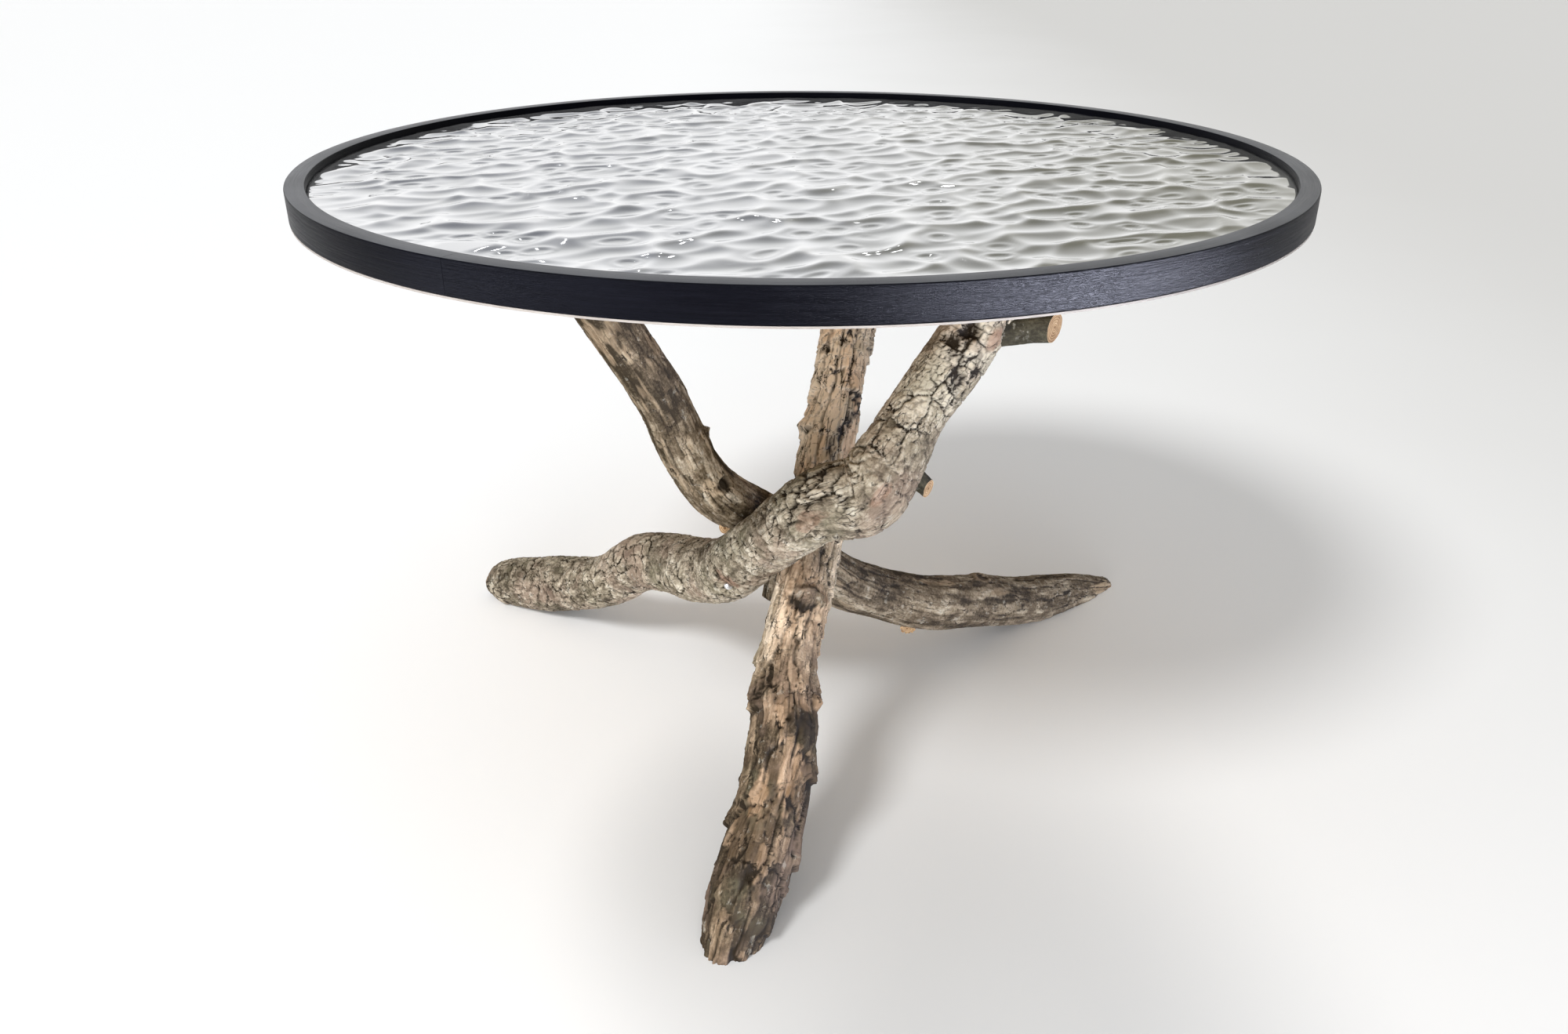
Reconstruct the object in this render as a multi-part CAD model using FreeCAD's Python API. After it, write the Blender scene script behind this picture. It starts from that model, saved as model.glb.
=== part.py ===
"""Round low table: a rippled mirror panel in a dark rim, carried by three crossed tree branches.

Millimetres, +Z up. The origin is on the floor, under the middle of the top. -Y is the front.
The three branches are named for where their feet stand: front, left and right. They cross under
the top like a tripod. The left branch passes in front of the other two, and a screw ties it to each
of them where they meet.
"""
import FreeCAD
import Part
import math
import os

Vector = FreeCAD.Vector
UP = Vector(0, 0, 1)
DOWN = Vector(0, 0, -1)

# Top
table_height = 450.0
top_diameter = 700.0
rim_height = 20.0
rim_width = 13.0
base_panel_thickness = 12.0
ripple_panel_thickness = 4.0
panel_clearance = 0.2

# Rim joints
rim_segment_count = 3
rim_first_joint_degrees = -1.0
rim_joint_gap = 0.3
dowel_diameter = 6.0
dowel_length = 30.0
dowel_clearance = 0.1
dowel_end_clearance = 0.5

# Branches
leg_reach = 325.0
front_branch_diameter = 48.0
left_branch_diameter = 52.0
right_branch_diameter = 48.0
crossing_bite = 8.0
crossing_clearance = 0.2
section_arc_count = 4
sections_per_station = 2
section_lump_share = 0.035
stub_taper_share = 0.88

# Twig stubs, cut short: diameter, and reach from the middle of the branch
left_top_stub_diameter = 21.0
left_top_stub_reach = 55.0
left_elbow_stub_diameter = 14.0
left_elbow_stub_reach = 36.0
right_top_stub_diameter = 20.0
right_top_stub_reach = 46.0
right_twig_diameter = 9.0
right_twig_reach = 27.0
right_under_stub_diameter = 13.0
right_under_stub_reach = 27.0
front_knot_diameter = 18.0
front_knot_reach = 25.0

# Screws
top_screw_length = 38.0
crossing_screw_length = 74.0
screw_shank_diameter = 4.0
screw_head_diameter = 7.0
screw_head_height = 2.4
screw_slot_width = 1.0
screw_slot_depth = 1.1
screw_tip_length = 5.0
screw_clearance = 0.15
crossing_screw_sink = 0.6
top_screw_sink = 0.2
top_screw_place_shares = (0.05, 0.40)

# One overrun for every cut that passes a face
overrun = 12.0

# Worked out from the sizes above
top_radius = top_diameter / 2
rim_inner_radius = top_radius - rim_width
panel_radius = rim_inner_radius - panel_clearance
leg_height = table_height - rim_height
base_panel_top = leg_height + base_panel_thickness

# Branch routes, foot to top: x and y as shares of the leg reach, z as a share of the leg height,
# thickness as a share of the branch's own diameter.
front_branch_shares = (
    (-0.15, -1.00, -0.05, 0.72),
    (-0.11, -0.89, 0.04, 1.02),
    (-0.06, -0.76, 0.12, 1.00),
    (-0.03, -0.63, 0.20, 1.03),
    (-0.025, -0.47, 0.27, 0.92),
    (0.035, -0.21, 0.43, 0.90),
    (0.065, -0.07, 0.53, 0.88),
    (0.095, 0.05, 0.61, 0.84),
    (0.135, 0.28, 0.74, 0.88),
    (0.215, 0.74, 1.03, 0.86),
)
left_branch_shares = (
    (-0.95, 0.44, 0.02, 0.36),
    (-0.88, 0.42, 0.04, 0.80),
    (-0.74, 0.36, 0.06, 0.98),
    (-0.63, 0.30, 0.09, 0.94),
    (-0.53, 0.22, 0.13, 0.90),
    (-0.43, 0.15, 0.20, 0.94),
    (-0.34, 0.08, 0.23, 1.00),
    (-0.25, -0.03, 0.26, 1.02),
    (-0.17, -0.14, 0.31, 0.98),
    (-0.09, -0.28, 0.41, 0.90),
    (0.04, -0.42, 0.54, 0.96),
    (0.14, -0.44, 0.57, 1.04),
    (0.20, -0.41, 0.63, 0.94),
    (0.25, -0.37, 0.69, 0.82),
    (0.33, -0.33, 0.77, 0.84),
    (0.43, -0.28, 0.88, 0.80),
    (0.57, -0.21, 1.03, 0.78),
)
right_branch_shares = (
    (0.95, 0.52, -0.01, 0.44),
    (0.81, 0.43, 0.01, 0.80),
    (0.65, 0.30, 0.05, 0.92),
    (0.50, 0.18, 0.10, 0.99),
    (0.34, 0.06, 0.15, 1.00),
    (0.20, 0.00, 0.20, 0.93),
    (0.11, -0.06, 0.25, 0.92),
    (0.00, -0.11, 0.29, 0.95),
    (-0.11, -0.14, 0.38, 0.92),
    (-0.20, -0.19, 0.49, 0.83),
    (-0.26, -0.22, 0.58, 0.80),
    (-0.30, -0.25, 0.67, 0.76),
    (-0.35, -0.30, 0.76, 0.76),
    (-0.42, -0.35, 0.87, 0.78),
    (-0.52, -0.40, 1.03, 0.80),
)

# How far up each route, from foot to top, the straight run at a crossing starts and ends
front_run_shares = (0.44, 0.56)
left_run_at_front_shares = (0.56, 0.62)
left_run_at_right_shares = (0.50, 0.56)
right_run_shares = (0.50, 0.57)


def route(shares, diameter):
    """Stations of one branch: the middle of each section, and its radius."""
    middles = [Vector(x * leg_reach, y * leg_reach, z * leg_height) for x, y, z, _ in shares]
    radii = [thickness * diameter / 2 for _, _, _, thickness in shares]
    return middles, radii


def stations_of_run(stations, run_shares):
    """The stations nearest to the start and the end of a run."""
    return [round(share * (len(stations[0]) - 1)) for share in run_shares]


def run_of(stations, run_shares):
    """The two ends of a straight run, and its mean radius."""
    middles, radii = stations
    first, last = stations_of_run(stations, run_shares)
    return middles[first], middles[last], (radii[first] + radii[last]) / 2


def seat(stations, run_shares, partner):
    """Shift a run sideways until it bites into its partner by the crossing bite."""
    start, end, radius = run_of(stations, run_shares)
    partner_start, partner_end, partner_radius = partner
    normal = (end - start).cross(partner_end - partner_start)
    normal.normalize()
    spacing = (start - partner_start).dot(normal)
    side = math.copysign(1, spacing)
    shift = normal * (side * (radius + partner_radius - crossing_bite) - spacing)
    middles = stations[0]
    for station in stations_of_run(stations, run_shares):
        middles[station] = middles[station] + shift


def nearest_points(run_a, run_b):
    """The points of two straight runs that lie nearest to each other."""
    start_a, end_a, _ = run_a
    start_b, end_b, _ = run_b
    along_a = end_a - start_a
    along_b = end_b - start_b
    between = start_a - start_b
    aa = along_a.dot(along_a)
    ab = along_a.dot(along_b)
    bb = along_b.dot(along_b)
    square = aa * bb - ab * ab
    share_a = (ab * along_b.dot(between) - bb * along_a.dot(between)) / square
    share_b = (aa * along_b.dot(between) - ab * along_a.dot(between)) / square
    return start_a + along_a * share_a, start_b + along_b * share_b


def rounded(values, steps):
    """Values at even steps on a smooth curve through a list of numbers or vectors."""
    last = len(values) - 1
    smooth = []
    for first in range(last):
        before, start = values[max(first - 1, 0)], values[first]
        end, after = values[first + 1], values[min(first + 2, last)]
        for step in range(steps):
            share = step / steps
            bend = start * 2 + (end - before) * share
            bend = bend + (before * 2 - start * 5 + end * 4 - after) * share ** 2
            bend = bend + (start * 3 - before - end * 3 + after) * share ** 3
            smooth.append(bend * 0.5)
    return smooth + [values[last]]


def grown_branch(stations, growth):
    """Loft of lumpy round sections, each square to the route. Growth adds to every radius."""
    middles = rounded(stations[0], sections_per_station)
    radii = rounded(stations[1], sections_per_station)
    last = len(middles) - 1
    side = UP
    wires = []
    for place, middle in enumerate(middles):
        ahead = middles[min(place + 1, last)] - middles[max(place - 1, 0)]
        ahead.normalize()
        side = side - ahead * side.dot(ahead)
        side.normalize()
        across = ahead.cross(side)
        points = []
        for step in range(2 * section_arc_count):
            turn = math.pi * step / section_arc_count
            phase = place / sections_per_station
            lump = math.cos(2 * turn + phase) + math.cos(3 * turn - 2 * phase) / 2
            radius = radii[place] * (1 + section_lump_share * lump) + growth
            points.append(middle + side * (radius * math.cos(turn)) + across * (radius * math.sin(turn)))
        points.append(points[0])
        arcs = [Part.Arc(*points[2 * arc:2 * arc + 3]).toShape() for arc in range(section_arc_count)]
        wires.append(Part.Wire(arcs))
    return Part.makeLoft(wires, True, True)


def twig_stub(stations, place_share, direction_shares, diameter, reach):
    """A twig cut short: a taper from the middle of the branch out past its bark."""
    middles = stations[0]
    place = place_share * (len(middles) - 1)
    below = int(place)
    root = middles[below] + (middles[below + 1] - middles[below]) * (place - below)
    direction = Vector(*direction_shares)
    direction.normalize()
    return Part.makeCone(diameter / 2, stub_taper_share * diameter / 2, reach, root, direction)


def between_floor_and_top(shape):
    """Saw the feet flat on the floor and the tops flat under the base panel."""
    slab_radius = top_radius + leg_reach
    return shape.common(Part.makeCylinder(slab_radius, leg_height))


def screw_place(head, direction):
    return FreeCAD.Placement(head, FreeCAD.Rotation(UP, direction))


def screw(head, direction, length):
    """Slotted countersunk wood screw. The head's flat face is centred on head."""
    shank_radius = screw_shank_diameter / 2
    cone = Part.makeCone(screw_head_diameter / 2, shank_radius, screw_head_height)
    shank_length = length - screw_head_height - screw_tip_length
    shank = Part.makeCylinder(shank_radius, shank_length, UP * screw_head_height)
    tip = Part.makeCone(shank_radius, 0, screw_tip_length, UP * (length - screw_tip_length))
    slot_corner = Vector(-screw_head_diameter, -screw_slot_width / 2, -overrun)
    slot = Part.makeBox(2 * screw_head_diameter, screw_slot_width, overrun + screw_slot_depth, slot_corner)
    shape = cone.fuse([shank, tip]).removeSplitter().cut(slot)
    shape.Placement = screw_place(head, direction)
    return shape


def screw_hole(head, direction, length):
    """Pilot hole, countersink and the way in for one screw."""
    shank_radius = screw_shank_diameter / 2 + screw_clearance
    head_radius = screw_head_diameter / 2 + screw_clearance
    pilot = Part.makeCylinder(shank_radius, length + screw_clearance)
    sink = Part.makeCone(head_radius, shank_radius, screw_head_height)
    way_in = Part.makeCylinder(head_radius, overrun, DOWN * overrun)
    shape = pilot.fuse([sink, way_in])
    shape.Placement = screw_place(head, direction)
    return shape


def crossing_screw(from_run, into_run):
    """Head place and direction of the screw that joins two branches where they meet."""
    start, end = nearest_points(from_run, into_run)
    direction = end - start
    direction.normalize()
    return start - direction * (from_run[2] - crossing_screw_sink), direction


def top_screw_heads(stations):
    """Places of the two screws that come down through the base panel into one branch."""
    middles, radii = stations
    above, below = middles[-1], middles[-2]
    rise = (leg_height - below.z) / (above.z - below.z)
    crown = below + (above - below) * rise
    inward = below - above
    inward.z = 0
    inward.normalize()
    level = base_panel_top - top_screw_sink
    heads = []
    for share in top_screw_place_shares:
        place = crown + inward * (share * 2 * radii[-1])
        heads.append(Vector(place.x, place.y, level))
    return heads


def rim_joint_place(joint):
    """Angle of one rim joint, in degrees."""
    return rim_first_joint_degrees + joint * 360.0 / rim_segment_count


def dowel(joint, clearance, end_clearance):
    """Round pin across one rim joint, along the rim, at the middle of its section."""
    turn = math.radians(rim_joint_place(joint))
    radius = (top_radius + rim_inner_radius) / 2
    along = Vector(-math.sin(turn), math.cos(turn), 0)
    length = dowel_length + 2 * end_clearance
    middle = Vector(radius * math.cos(turn), radius * math.sin(turn), leg_height + rim_height / 2)
    return Part.makeCylinder(dowel_diameter / 2 + clearance, length, middle - along * (length / 2), along)


def rim_segment(joint):
    """One bent length of rim, from its joint to the next, with a dowel hole in each end."""
    gap_degrees = math.degrees(rim_joint_gap / top_radius)
    sweep = 360.0 / rim_segment_count - gap_degrees
    ring = Part.makeCylinder(top_radius, rim_height, UP * leg_height, UP, sweep)
    bore_height = rim_height + 2 * overrun
    bore = Part.makeCylinder(rim_inner_radius, bore_height, UP * (leg_height - overrun))
    ring = ring.cut(bore)
    ring.rotate(Vector(0, 0, 0), UP, rim_joint_place(joint) + gap_degrees / 2)
    return ring.cut([dowel(end, dowel_clearance, dowel_end_clearance) for end in (joint, joint + 1)])


# Routes of the branches, set against each other at the crossings
front = route(front_branch_shares, front_branch_diameter)
left = route(left_branch_shares, left_branch_diameter)
right = route(right_branch_shares, right_branch_diameter)
seat(front, front_run_shares, run_of(left, left_run_at_front_shares))
seat(right, right_run_shares, run_of(left, left_run_at_right_shares))

# Screws: two down into the top of each branch, one at each crossing
screws = {}
for name, stations in (("front", front), ("left", left), ("right", right)):
    for number, head in enumerate(top_screw_heads(stations), start=1):
        screws[f"{name}_top_screw_{number}"] = (head, DOWN, top_screw_length)
front_run = run_of(front, front_run_shares)
left_run_at_front = run_of(left, left_run_at_front_shares)
left_run_at_right = run_of(left, left_run_at_right_shares)
right_run = run_of(right, right_run_shares)
crossings = {
    "front_left_crossing_screw": crossing_screw(front_run, left_run_at_front),
    "left_right_crossing_screw": crossing_screw(left_run_at_right, right_run),
}
for name, (head, direction) in crossings.items():
    screws[name] = (head, direction, crossing_screw_length)
holes = {name: screw_hole(*placed) for name, placed in screws.items()}


def holes_for(*words):
    return [hole for name, hole in holes.items() if any(word in name for word in words)]


# Branches, with their twig stubs: how far up the branch each one grows, which way it points
left_stubs = [
    twig_stub(left, 0.90, (0.97, -0.15, 0.08), left_top_stub_diameter, left_top_stub_reach),
    twig_stub(left, 0.75, (0.72, -0.10, -0.70), left_elbow_stub_diameter, left_elbow_stub_reach),
]
right_stubs = [
    twig_stub(right, 0.93, (-0.95, -0.10, 0.05), right_top_stub_diameter, right_top_stub_reach),
    twig_stub(right, 0.57, (-0.70, -0.65, 0.05), right_twig_diameter, right_twig_reach),
    twig_stub(right, 0.29, (-0.45, -0.50, -0.70), right_under_stub_diameter, right_under_stub_reach),
]
front_knot = twig_stub(front, 0.44, (0.35, -0.75, 0.45), front_knot_diameter, front_knot_reach)

left_seat = grown_branch(left, crossing_clearance)

nodes = {}
left_whole = between_floor_and_top(grown_branch(left, 0).fuse(left_stubs))
nodes["left_branch"] = left_whole.cut(holes_for("left"))
front_whole = between_floor_and_top(grown_branch(front, 0).fuse(front_knot))
nodes["front_branch"] = front_whole.cut([left_seat] + holes_for("front"))
right_whole = between_floor_and_top(grown_branch(right, 0).fuse(right_stubs))
nodes["right_branch"] = right_whole.cut([left_seat] + holes_for("right"))

# Top: base panel, ripple panel, rim segments and their dowels
base_panel = Part.makeCylinder(panel_radius, base_panel_thickness, UP * leg_height)
nodes["base_panel"] = base_panel.cut(holes_for("top_screw"))
nodes["ripple_panel"] = Part.makeCylinder(panel_radius, ripple_panel_thickness, UP * base_panel_top)
for joint in range(rim_segment_count):
    nodes[f"rim_segment_{joint + 1}"] = rim_segment(joint)
    nodes[f"rim_dowel_{joint + 1}"] = dowel(joint, 0, 0)
for name, placed in screws.items():
    nodes[name] = screw(*placed)

os.makedirs("parts", exist_ok=True)
for name, shape in nodes.items():
    shape.exportStep(f"parts/{name}.step")
    box = shape.optimalBoundingBox()
    print(f"{name}: {len(shape.Solids)} solid, valid {shape.isValid()}, {shape.Volume / 1000:.1f} cm3, "
          f"z {box.ZMin:.1f} to {box.ZMax:.1f}")
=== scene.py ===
# %% [markdown]
# # A round low table on three crossed branches
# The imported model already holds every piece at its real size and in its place, so it is loaded first
# and stays as it is. What Blender adds is the surface: bark, cut wood, lacquer and a rippled mirror.
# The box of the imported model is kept, because the dressed table may not outgrow it.

# %% Load the frame
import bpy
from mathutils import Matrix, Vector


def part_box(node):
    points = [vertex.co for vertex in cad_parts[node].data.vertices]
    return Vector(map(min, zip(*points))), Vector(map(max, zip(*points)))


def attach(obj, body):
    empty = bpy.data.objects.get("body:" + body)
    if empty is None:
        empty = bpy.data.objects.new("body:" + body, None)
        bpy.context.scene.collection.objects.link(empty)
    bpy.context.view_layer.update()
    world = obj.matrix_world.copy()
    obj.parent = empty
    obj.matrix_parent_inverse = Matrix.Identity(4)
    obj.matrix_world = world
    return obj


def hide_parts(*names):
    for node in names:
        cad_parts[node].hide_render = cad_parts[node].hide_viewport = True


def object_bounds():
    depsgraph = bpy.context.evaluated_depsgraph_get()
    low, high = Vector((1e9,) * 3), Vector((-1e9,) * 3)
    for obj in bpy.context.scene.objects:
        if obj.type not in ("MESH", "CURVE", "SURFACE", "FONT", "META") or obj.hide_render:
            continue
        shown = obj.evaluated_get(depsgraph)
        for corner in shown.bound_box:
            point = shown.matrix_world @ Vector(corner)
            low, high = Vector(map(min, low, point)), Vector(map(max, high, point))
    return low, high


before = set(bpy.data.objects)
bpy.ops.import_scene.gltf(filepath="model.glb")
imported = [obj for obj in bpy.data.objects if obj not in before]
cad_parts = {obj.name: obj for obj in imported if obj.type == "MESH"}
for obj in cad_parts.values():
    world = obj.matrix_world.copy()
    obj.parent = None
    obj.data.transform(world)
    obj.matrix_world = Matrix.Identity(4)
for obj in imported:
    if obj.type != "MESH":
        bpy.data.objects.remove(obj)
cad_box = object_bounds()
print("nodes in the frame:", len(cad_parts))

# %% Modules, units and the view transform
import math

import bmesh
import bpy
import numpy as np
from mathutils import Matrix, Vector, noise

MM = 0.001
FULL_TURN = 2 * math.pi
scene = bpy.context.scene
scene.view_settings.view_transform = "Standard"
print("one millimetre is", MM, "of Blender's units")

# %% [markdown]
# ## The camera
# The picture was taken from just above the table top, close by, with a fairly wide lens. A camera can be
# aimed with a constraint, but three plain turns are easier to check: a turn about the upright for yaw, one
# about the level axis for pitch, and a last small one about the lens for roll.

# %% Camera
CAMERA_PLACE = Vector((0.0, -0.9005, 0.6029))
CAMERA_PITCH = math.radians(26.349)
CAMERA_YAW = math.radians(-0.767)
CAMERA_ROLL = math.radians(-0.136)
SENSOR_WIDTH = 36.0
LENS = 27.83

lens = bpy.data.cameras.new("camera")
lens.sensor_fit = "HORIZONTAL"
lens.sensor_width = SENSOR_WIDTH
lens.lens = LENS
camera = bpy.data.objects.new("camera", lens)
level = Matrix.Rotation(math.pi / 2 - CAMERA_PITCH, 4, "X")
aim = Matrix.Rotation(-CAMERA_YAW, 4, "Z") @ level @ Matrix.Rotation(CAMERA_ROLL, 4, "Z")
camera.matrix_world = Matrix.Translation(CAMERA_PLACE) @ aim
scene.collection.objects.link(camera)
scene.camera = camera
print("camera stands", round(CAMERA_PLACE.length, 3), "m from the middle of the foot print")

# %% [markdown]
# ## Writing shaders as sums
# A material is a tree of nodes. Linking dozens of them by hand hides what they work out, so one small
# class stands for a socket: adding or multiplying two sockets adds the Math node that does it. A second
# class owns a tree, and its one general method makes any node from its type, settings and inputs.

# %% Socket and node helpers
class Socket:
    """One output of a node. Arithmetic on it adds Math nodes to the same tree."""

    def __init__(self, tree, output):
        self.tree = tree
        self.output = output

    def math(self, operation, *values):
        return self.tree.node("ShaderNodeMath", {"operation": operation}, dict(enumerate(values)))

    def __add__(self, other):
        return self.math("ADD", self, other)

    def __radd__(self, other):
        return self.math("ADD", other, self)

    def __sub__(self, other):
        return self.math("SUBTRACT", self, other)

    def __rsub__(self, other):
        return self.math("SUBTRACT", other, self)

    def __mul__(self, other):
        return self.math("MULTIPLY", self, other)

    def __rmul__(self, other):
        return self.math("MULTIPLY", other, self)

    def clamped(self):
        return self.tree.node("ShaderNodeClamp", {}, {"Value": self})

    def between(self, low, high):
        """0 below low, 1 above high and a smooth rise in the stretch from one to the other."""
        settings = {"interpolation_type": "SMOOTHSTEP"}
        return self.tree.node("ShaderNodeMapRange", settings, {"Value": self, 1: low, 2: high})


class Tree:
    """A node tree, with one method for any node and short forms of those used most."""

    def __init__(self, nodes, links):
        self.nodes = nodes
        self.links = links

    def feed(self, node, inputs):
        for name, value in inputs.items():
            if isinstance(value, Socket):
                self.links.new(value.output, node.inputs[name])
            else:
                node.inputs[name].default_value = value

    def node(self, kind, settings, inputs, output=0):
        made = self.nodes.new(kind)
        for name, value in settings.items():
            if name == "stops":
                self.set_stops(made.color_ramp, value)
            else:
                setattr(made, name, value)
        self.feed(made, inputs)
        return Socket(self, made.outputs[output])

    def set_stops(self, ramp, stops):
        while len(ramp.elements) < len(stops):
            ramp.elements.new(1.0)
        for element, (place, colour) in zip(ramp.elements, stops):
            element.position = place
            element.color = (*colour, 1.0)

    def ramp(self, value, *stops):
        return self.node("ShaderNodeValToRGB", {"stops": stops}, {"Fac": value})

    def mix(self, share, first, second):
        first, second = [c if isinstance(c, Socket) else (*c, 1.0) for c in (first, second)]
        return self.node("ShaderNodeMix", {"data_type": "RGBA"}, {0: share, 6: first, 7: second}, 2)

    def attribute(self, name, output="Fac"):
        return self.node("ShaderNodeAttribute", {"attribute_name": name}, {}, output)

    def own_place(self):
        """Where a spot lies in its piece's own frame."""
        return self.node("ShaderNodeTexCoord", {}, {}, "Object")

    def split(self, vector):
        """The X, Y and Z of a vector."""
        first = self.node("ShaderNodeSeparateXYZ", {}, {"Vector": vector})
        return [Socket(self, output) for output in first.output.node.outputs]

    def length(self, vector):
        return self.node("ShaderNodeVectorMath", {"operation": "LENGTH"}, {0: vector}, "Value")

    def stretched(self, place, scale, offset=(0, 0, 0)):
        return self.node("ShaderNodeMapping", {}, {"Vector": place, "Scale": scale, "Location": offset})

    def noise(self, place, scale, detail=4.0, roughness=0.55):
        inputs = {"Vector": place, "Scale": scale, "Detail": detail, "Roughness": roughness}
        return self.node("ShaderNodeTexNoise", {}, inputs)

    def bump(self, height, strength, distance):
        inputs = {"Height": height, "Strength": strength, "Distance": distance}
        return self.node("ShaderNodeBump", {}, inputs)


def new_finish(name):
    """A fresh material, its tree, and its main shader node."""
    material = bpy.data.materials.new(name)
    material.use_nodes = True
    nodes = material.node_tree.nodes
    return material, Tree(nodes, material.node_tree.links), nodes["Principled BSDF"]


print("shader helpers are ready")

# %% [markdown]
# ## The studio
# A pale floor runs far back, so it fills the whole view. Painted shade darkens it on the right, and two
# soft grey pools of painted shadow lie on it near the table. One wide, soft sun from the upper left gives
# the shadow, and a dim sky fills it, at a level where a colour renders about as it is written. The camera
# sees white beyond the floor, but reflections see a room: white near the horizon, dark higher up, lighter
# straight overhead, and dark low down behind the lens. A mirror has nothing to show in a room that is white
# all round. One fill box lights the front without showing in reflections, and the glint boxes show in
# reflections alone.

# %% Sky
FILL_LEVEL = (0.03, 0.03, 0.03)
FILL_OVERHEAD = (0.86, 0.86, 0.86)
SKY_WHITE = (1.0, 1.0, 1.0)
SKY_DARK = (0.05, 0.055, 0.07)
SKY_LEFT_TOP = (0.13, 0.14, 0.165)
SKY_RIGHT_TOP = (0.15, 0.145, 0.105)
SKY_OVERHEAD = (0.60, 0.61, 0.62)
# Stretches of the view direction's X, Y or Z over which one colour gives way to the next
LEFT_TO_RIGHT = (-0.20, 0.30)
MIDDLE_TO_RIGHT = (0.0, 0.40)
WHITE_TO_TOP = (0.08, 0.62)
TOP_TO_OVERHEAD = (0.78, 0.95)
DARK_TO_CEILING = (0.04, 0.20)
BEHIND_TO_AHEAD = (-0.45, 0.60)
RIGHT_LOWERING = 0.16
AHEAD_LEAN = 0.35

world = bpy.data.worlds.new("studio")
scene.world = world
world.use_nodes = True
sky = Tree(world.node_tree.nodes, world.node_tree.links)
sky_x, sky_y, sky_z = sky.split(sky.node("ShaderNodeTexCoord", {}, {}, "Generated"))
top = sky.mix(sky_x.between(*LEFT_TO_RIGHT), SKY_LEFT_TOP, SKY_RIGHT_TOP)
darkening = sky_z + sky_x.between(*MIDDLE_TO_RIGHT) * RIGHT_LOWERING
ceiling = sky.mix(darkening.between(*WHITE_TO_TOP), SKY_WHITE, top)
ceiling = sky.mix(sky_z.between(*TOP_TO_OVERHEAD), ceiling, SKY_OVERHEAD)
behind = sky.mix(sky_z.between(*DARK_TO_CEILING), SKY_DARK, ceiling)
room = sky.mix((sky_y + sky_z * AHEAD_LEAN).between(*BEHIND_TO_AHEAD), behind, ceiling)
camera_ray = sky.node("ShaderNodeLightPath", {}, {}, "Is Camera Ray")
path = camera_ray.output.node.outputs
mirrored = (Socket(sky, path["Is Glossy Ray"]) + Socket(sky, path["Is Transmission Ray"])).clamped()
fill = sky.mix(sky_z.clamped(), FILL_LEVEL, FILL_OVERHEAD)
shown = sky.mix(camera_ray, sky.mix(mirrored, fill, room), SKY_WHITE)
backdrop = sky.node("ShaderNodeBackground", {}, {"Color": shown, "Strength": 1.0})
world.node_tree.links.new(backdrop.output, world.node_tree.nodes["World Output"].inputs["Surface"])
print("sky fills from", FILL_LEVEL[0], "at the horizon to", FILL_OVERHEAD[0], "overhead")

# %% Lamps
SUN_FROM = Vector((-0.46, -0.48, 0.75))
SUN_STRENGTH = 1.9
SUN_SPREAD = math.radians(17)
NEUTRAL = (1.0, 1.0, 1.0)
BLUISH = (0.78, 0.81, 1.0)
STRIP_LIGHT = (0.02, 0.08, 0.055, NEUTRAL)
TOP_MIDDLE = (0.0, 0.0, 0.45)
# Place, target, width, height, watts and colour
FILL_BOXES = {
    "front soft box": ((-0.20, -2.1, 0.20), (0.0, 0.0, 0.32), 1.7, 0.5, 41.0, NEUTRAL),
}
GLINT_BOXES = {
    "right soft box": ((1.01, -0.84, 0.15), (0.14, -0.32, 0.44), 0.46, 0.30, 270.0, BLUISH),
    "left soft box": ((-1.07, -0.80, 0.16), (-0.15, -0.32, 0.44), 0.80, 0.30, 18.0, BLUISH),
    "left strip": ((-0.60, 2.0, 1.60), TOP_MIDDLE, *STRIP_LIGHT),
    "middle strip": ((-0.15, 2.0, 1.66), TOP_MIDDLE, *STRIP_LIGHT),
    "right strip": ((0.30, 2.0, 1.60), TOP_MIDDLE, *STRIP_LIGHT),
}


def lamp(name, light, turn, place=(0, 0, 0)):
    thing = bpy.data.objects.new(name, light)
    thing.rotation_euler = turn.to_track_quat("Z", "Y").to_euler()
    thing.location = place
    thing.visible_camera = False
    scene.collection.objects.link(thing)
    return thing


def soft_box(name, place, target, width, height, power, colour):
    box = bpy.data.lights.new(name, "AREA")
    box.color = colour
    box.shape = "RECTANGLE"
    box.size = width
    box.size_y = height
    box.energy = power
    return lamp(name, box, Vector(place) - Vector(target), place)


sun = bpy.data.lights.new("key", "SUN")
sun.energy = SUN_STRENGTH
sun.angle = SUN_SPREAD
lamp("key", sun, SUN_FROM)
for name, values in FILL_BOXES.items():
    soft_box(name, *values).visible_glossy = False
for name, values in GLINT_BOXES.items():
    soft_box(name, *values).visible_diffuse = False
print("one sun,", len(FILL_BOXES), "fill box and", len(GLINT_BOXES), "glint boxes")

# %% Floor
FLOOR_HALF = 20.0
FLOOR_FRONT = -1.15
FLOOR_LIFT = 0.03
FLOOR_LEFT_TINT = (0.965, 0.972, 0.975)
# Painted shade: the floor's colour darkens towards the right
FLOOR_RIGHT_PAINTED_SHADE = (0.67, 0.666, 0.650)
FLOOR_LEFT_TO_RIGHT = (-0.25, 0.9)
FLOOR_FRONT_TO_BACK = (-1.0, -0.45)
# Painted shadow: the grey of pools laid into the floor's colour near the table
PAINTED_SHADOW_GREY = (0.600, 0.607, 0.610)
# Each pool of painted shadow: how far right and back its middle is, its reach, and its strength
PAINTED_SHADOW_POOLS = [(0.13, -0.40, 0.27, 0.90), (-0.06, -0.24, 0.13, 0.60)]
SHADOW_POOL_SQUEEZE = 0.6
SHADOW_POOL_CORE = 0.2


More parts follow.
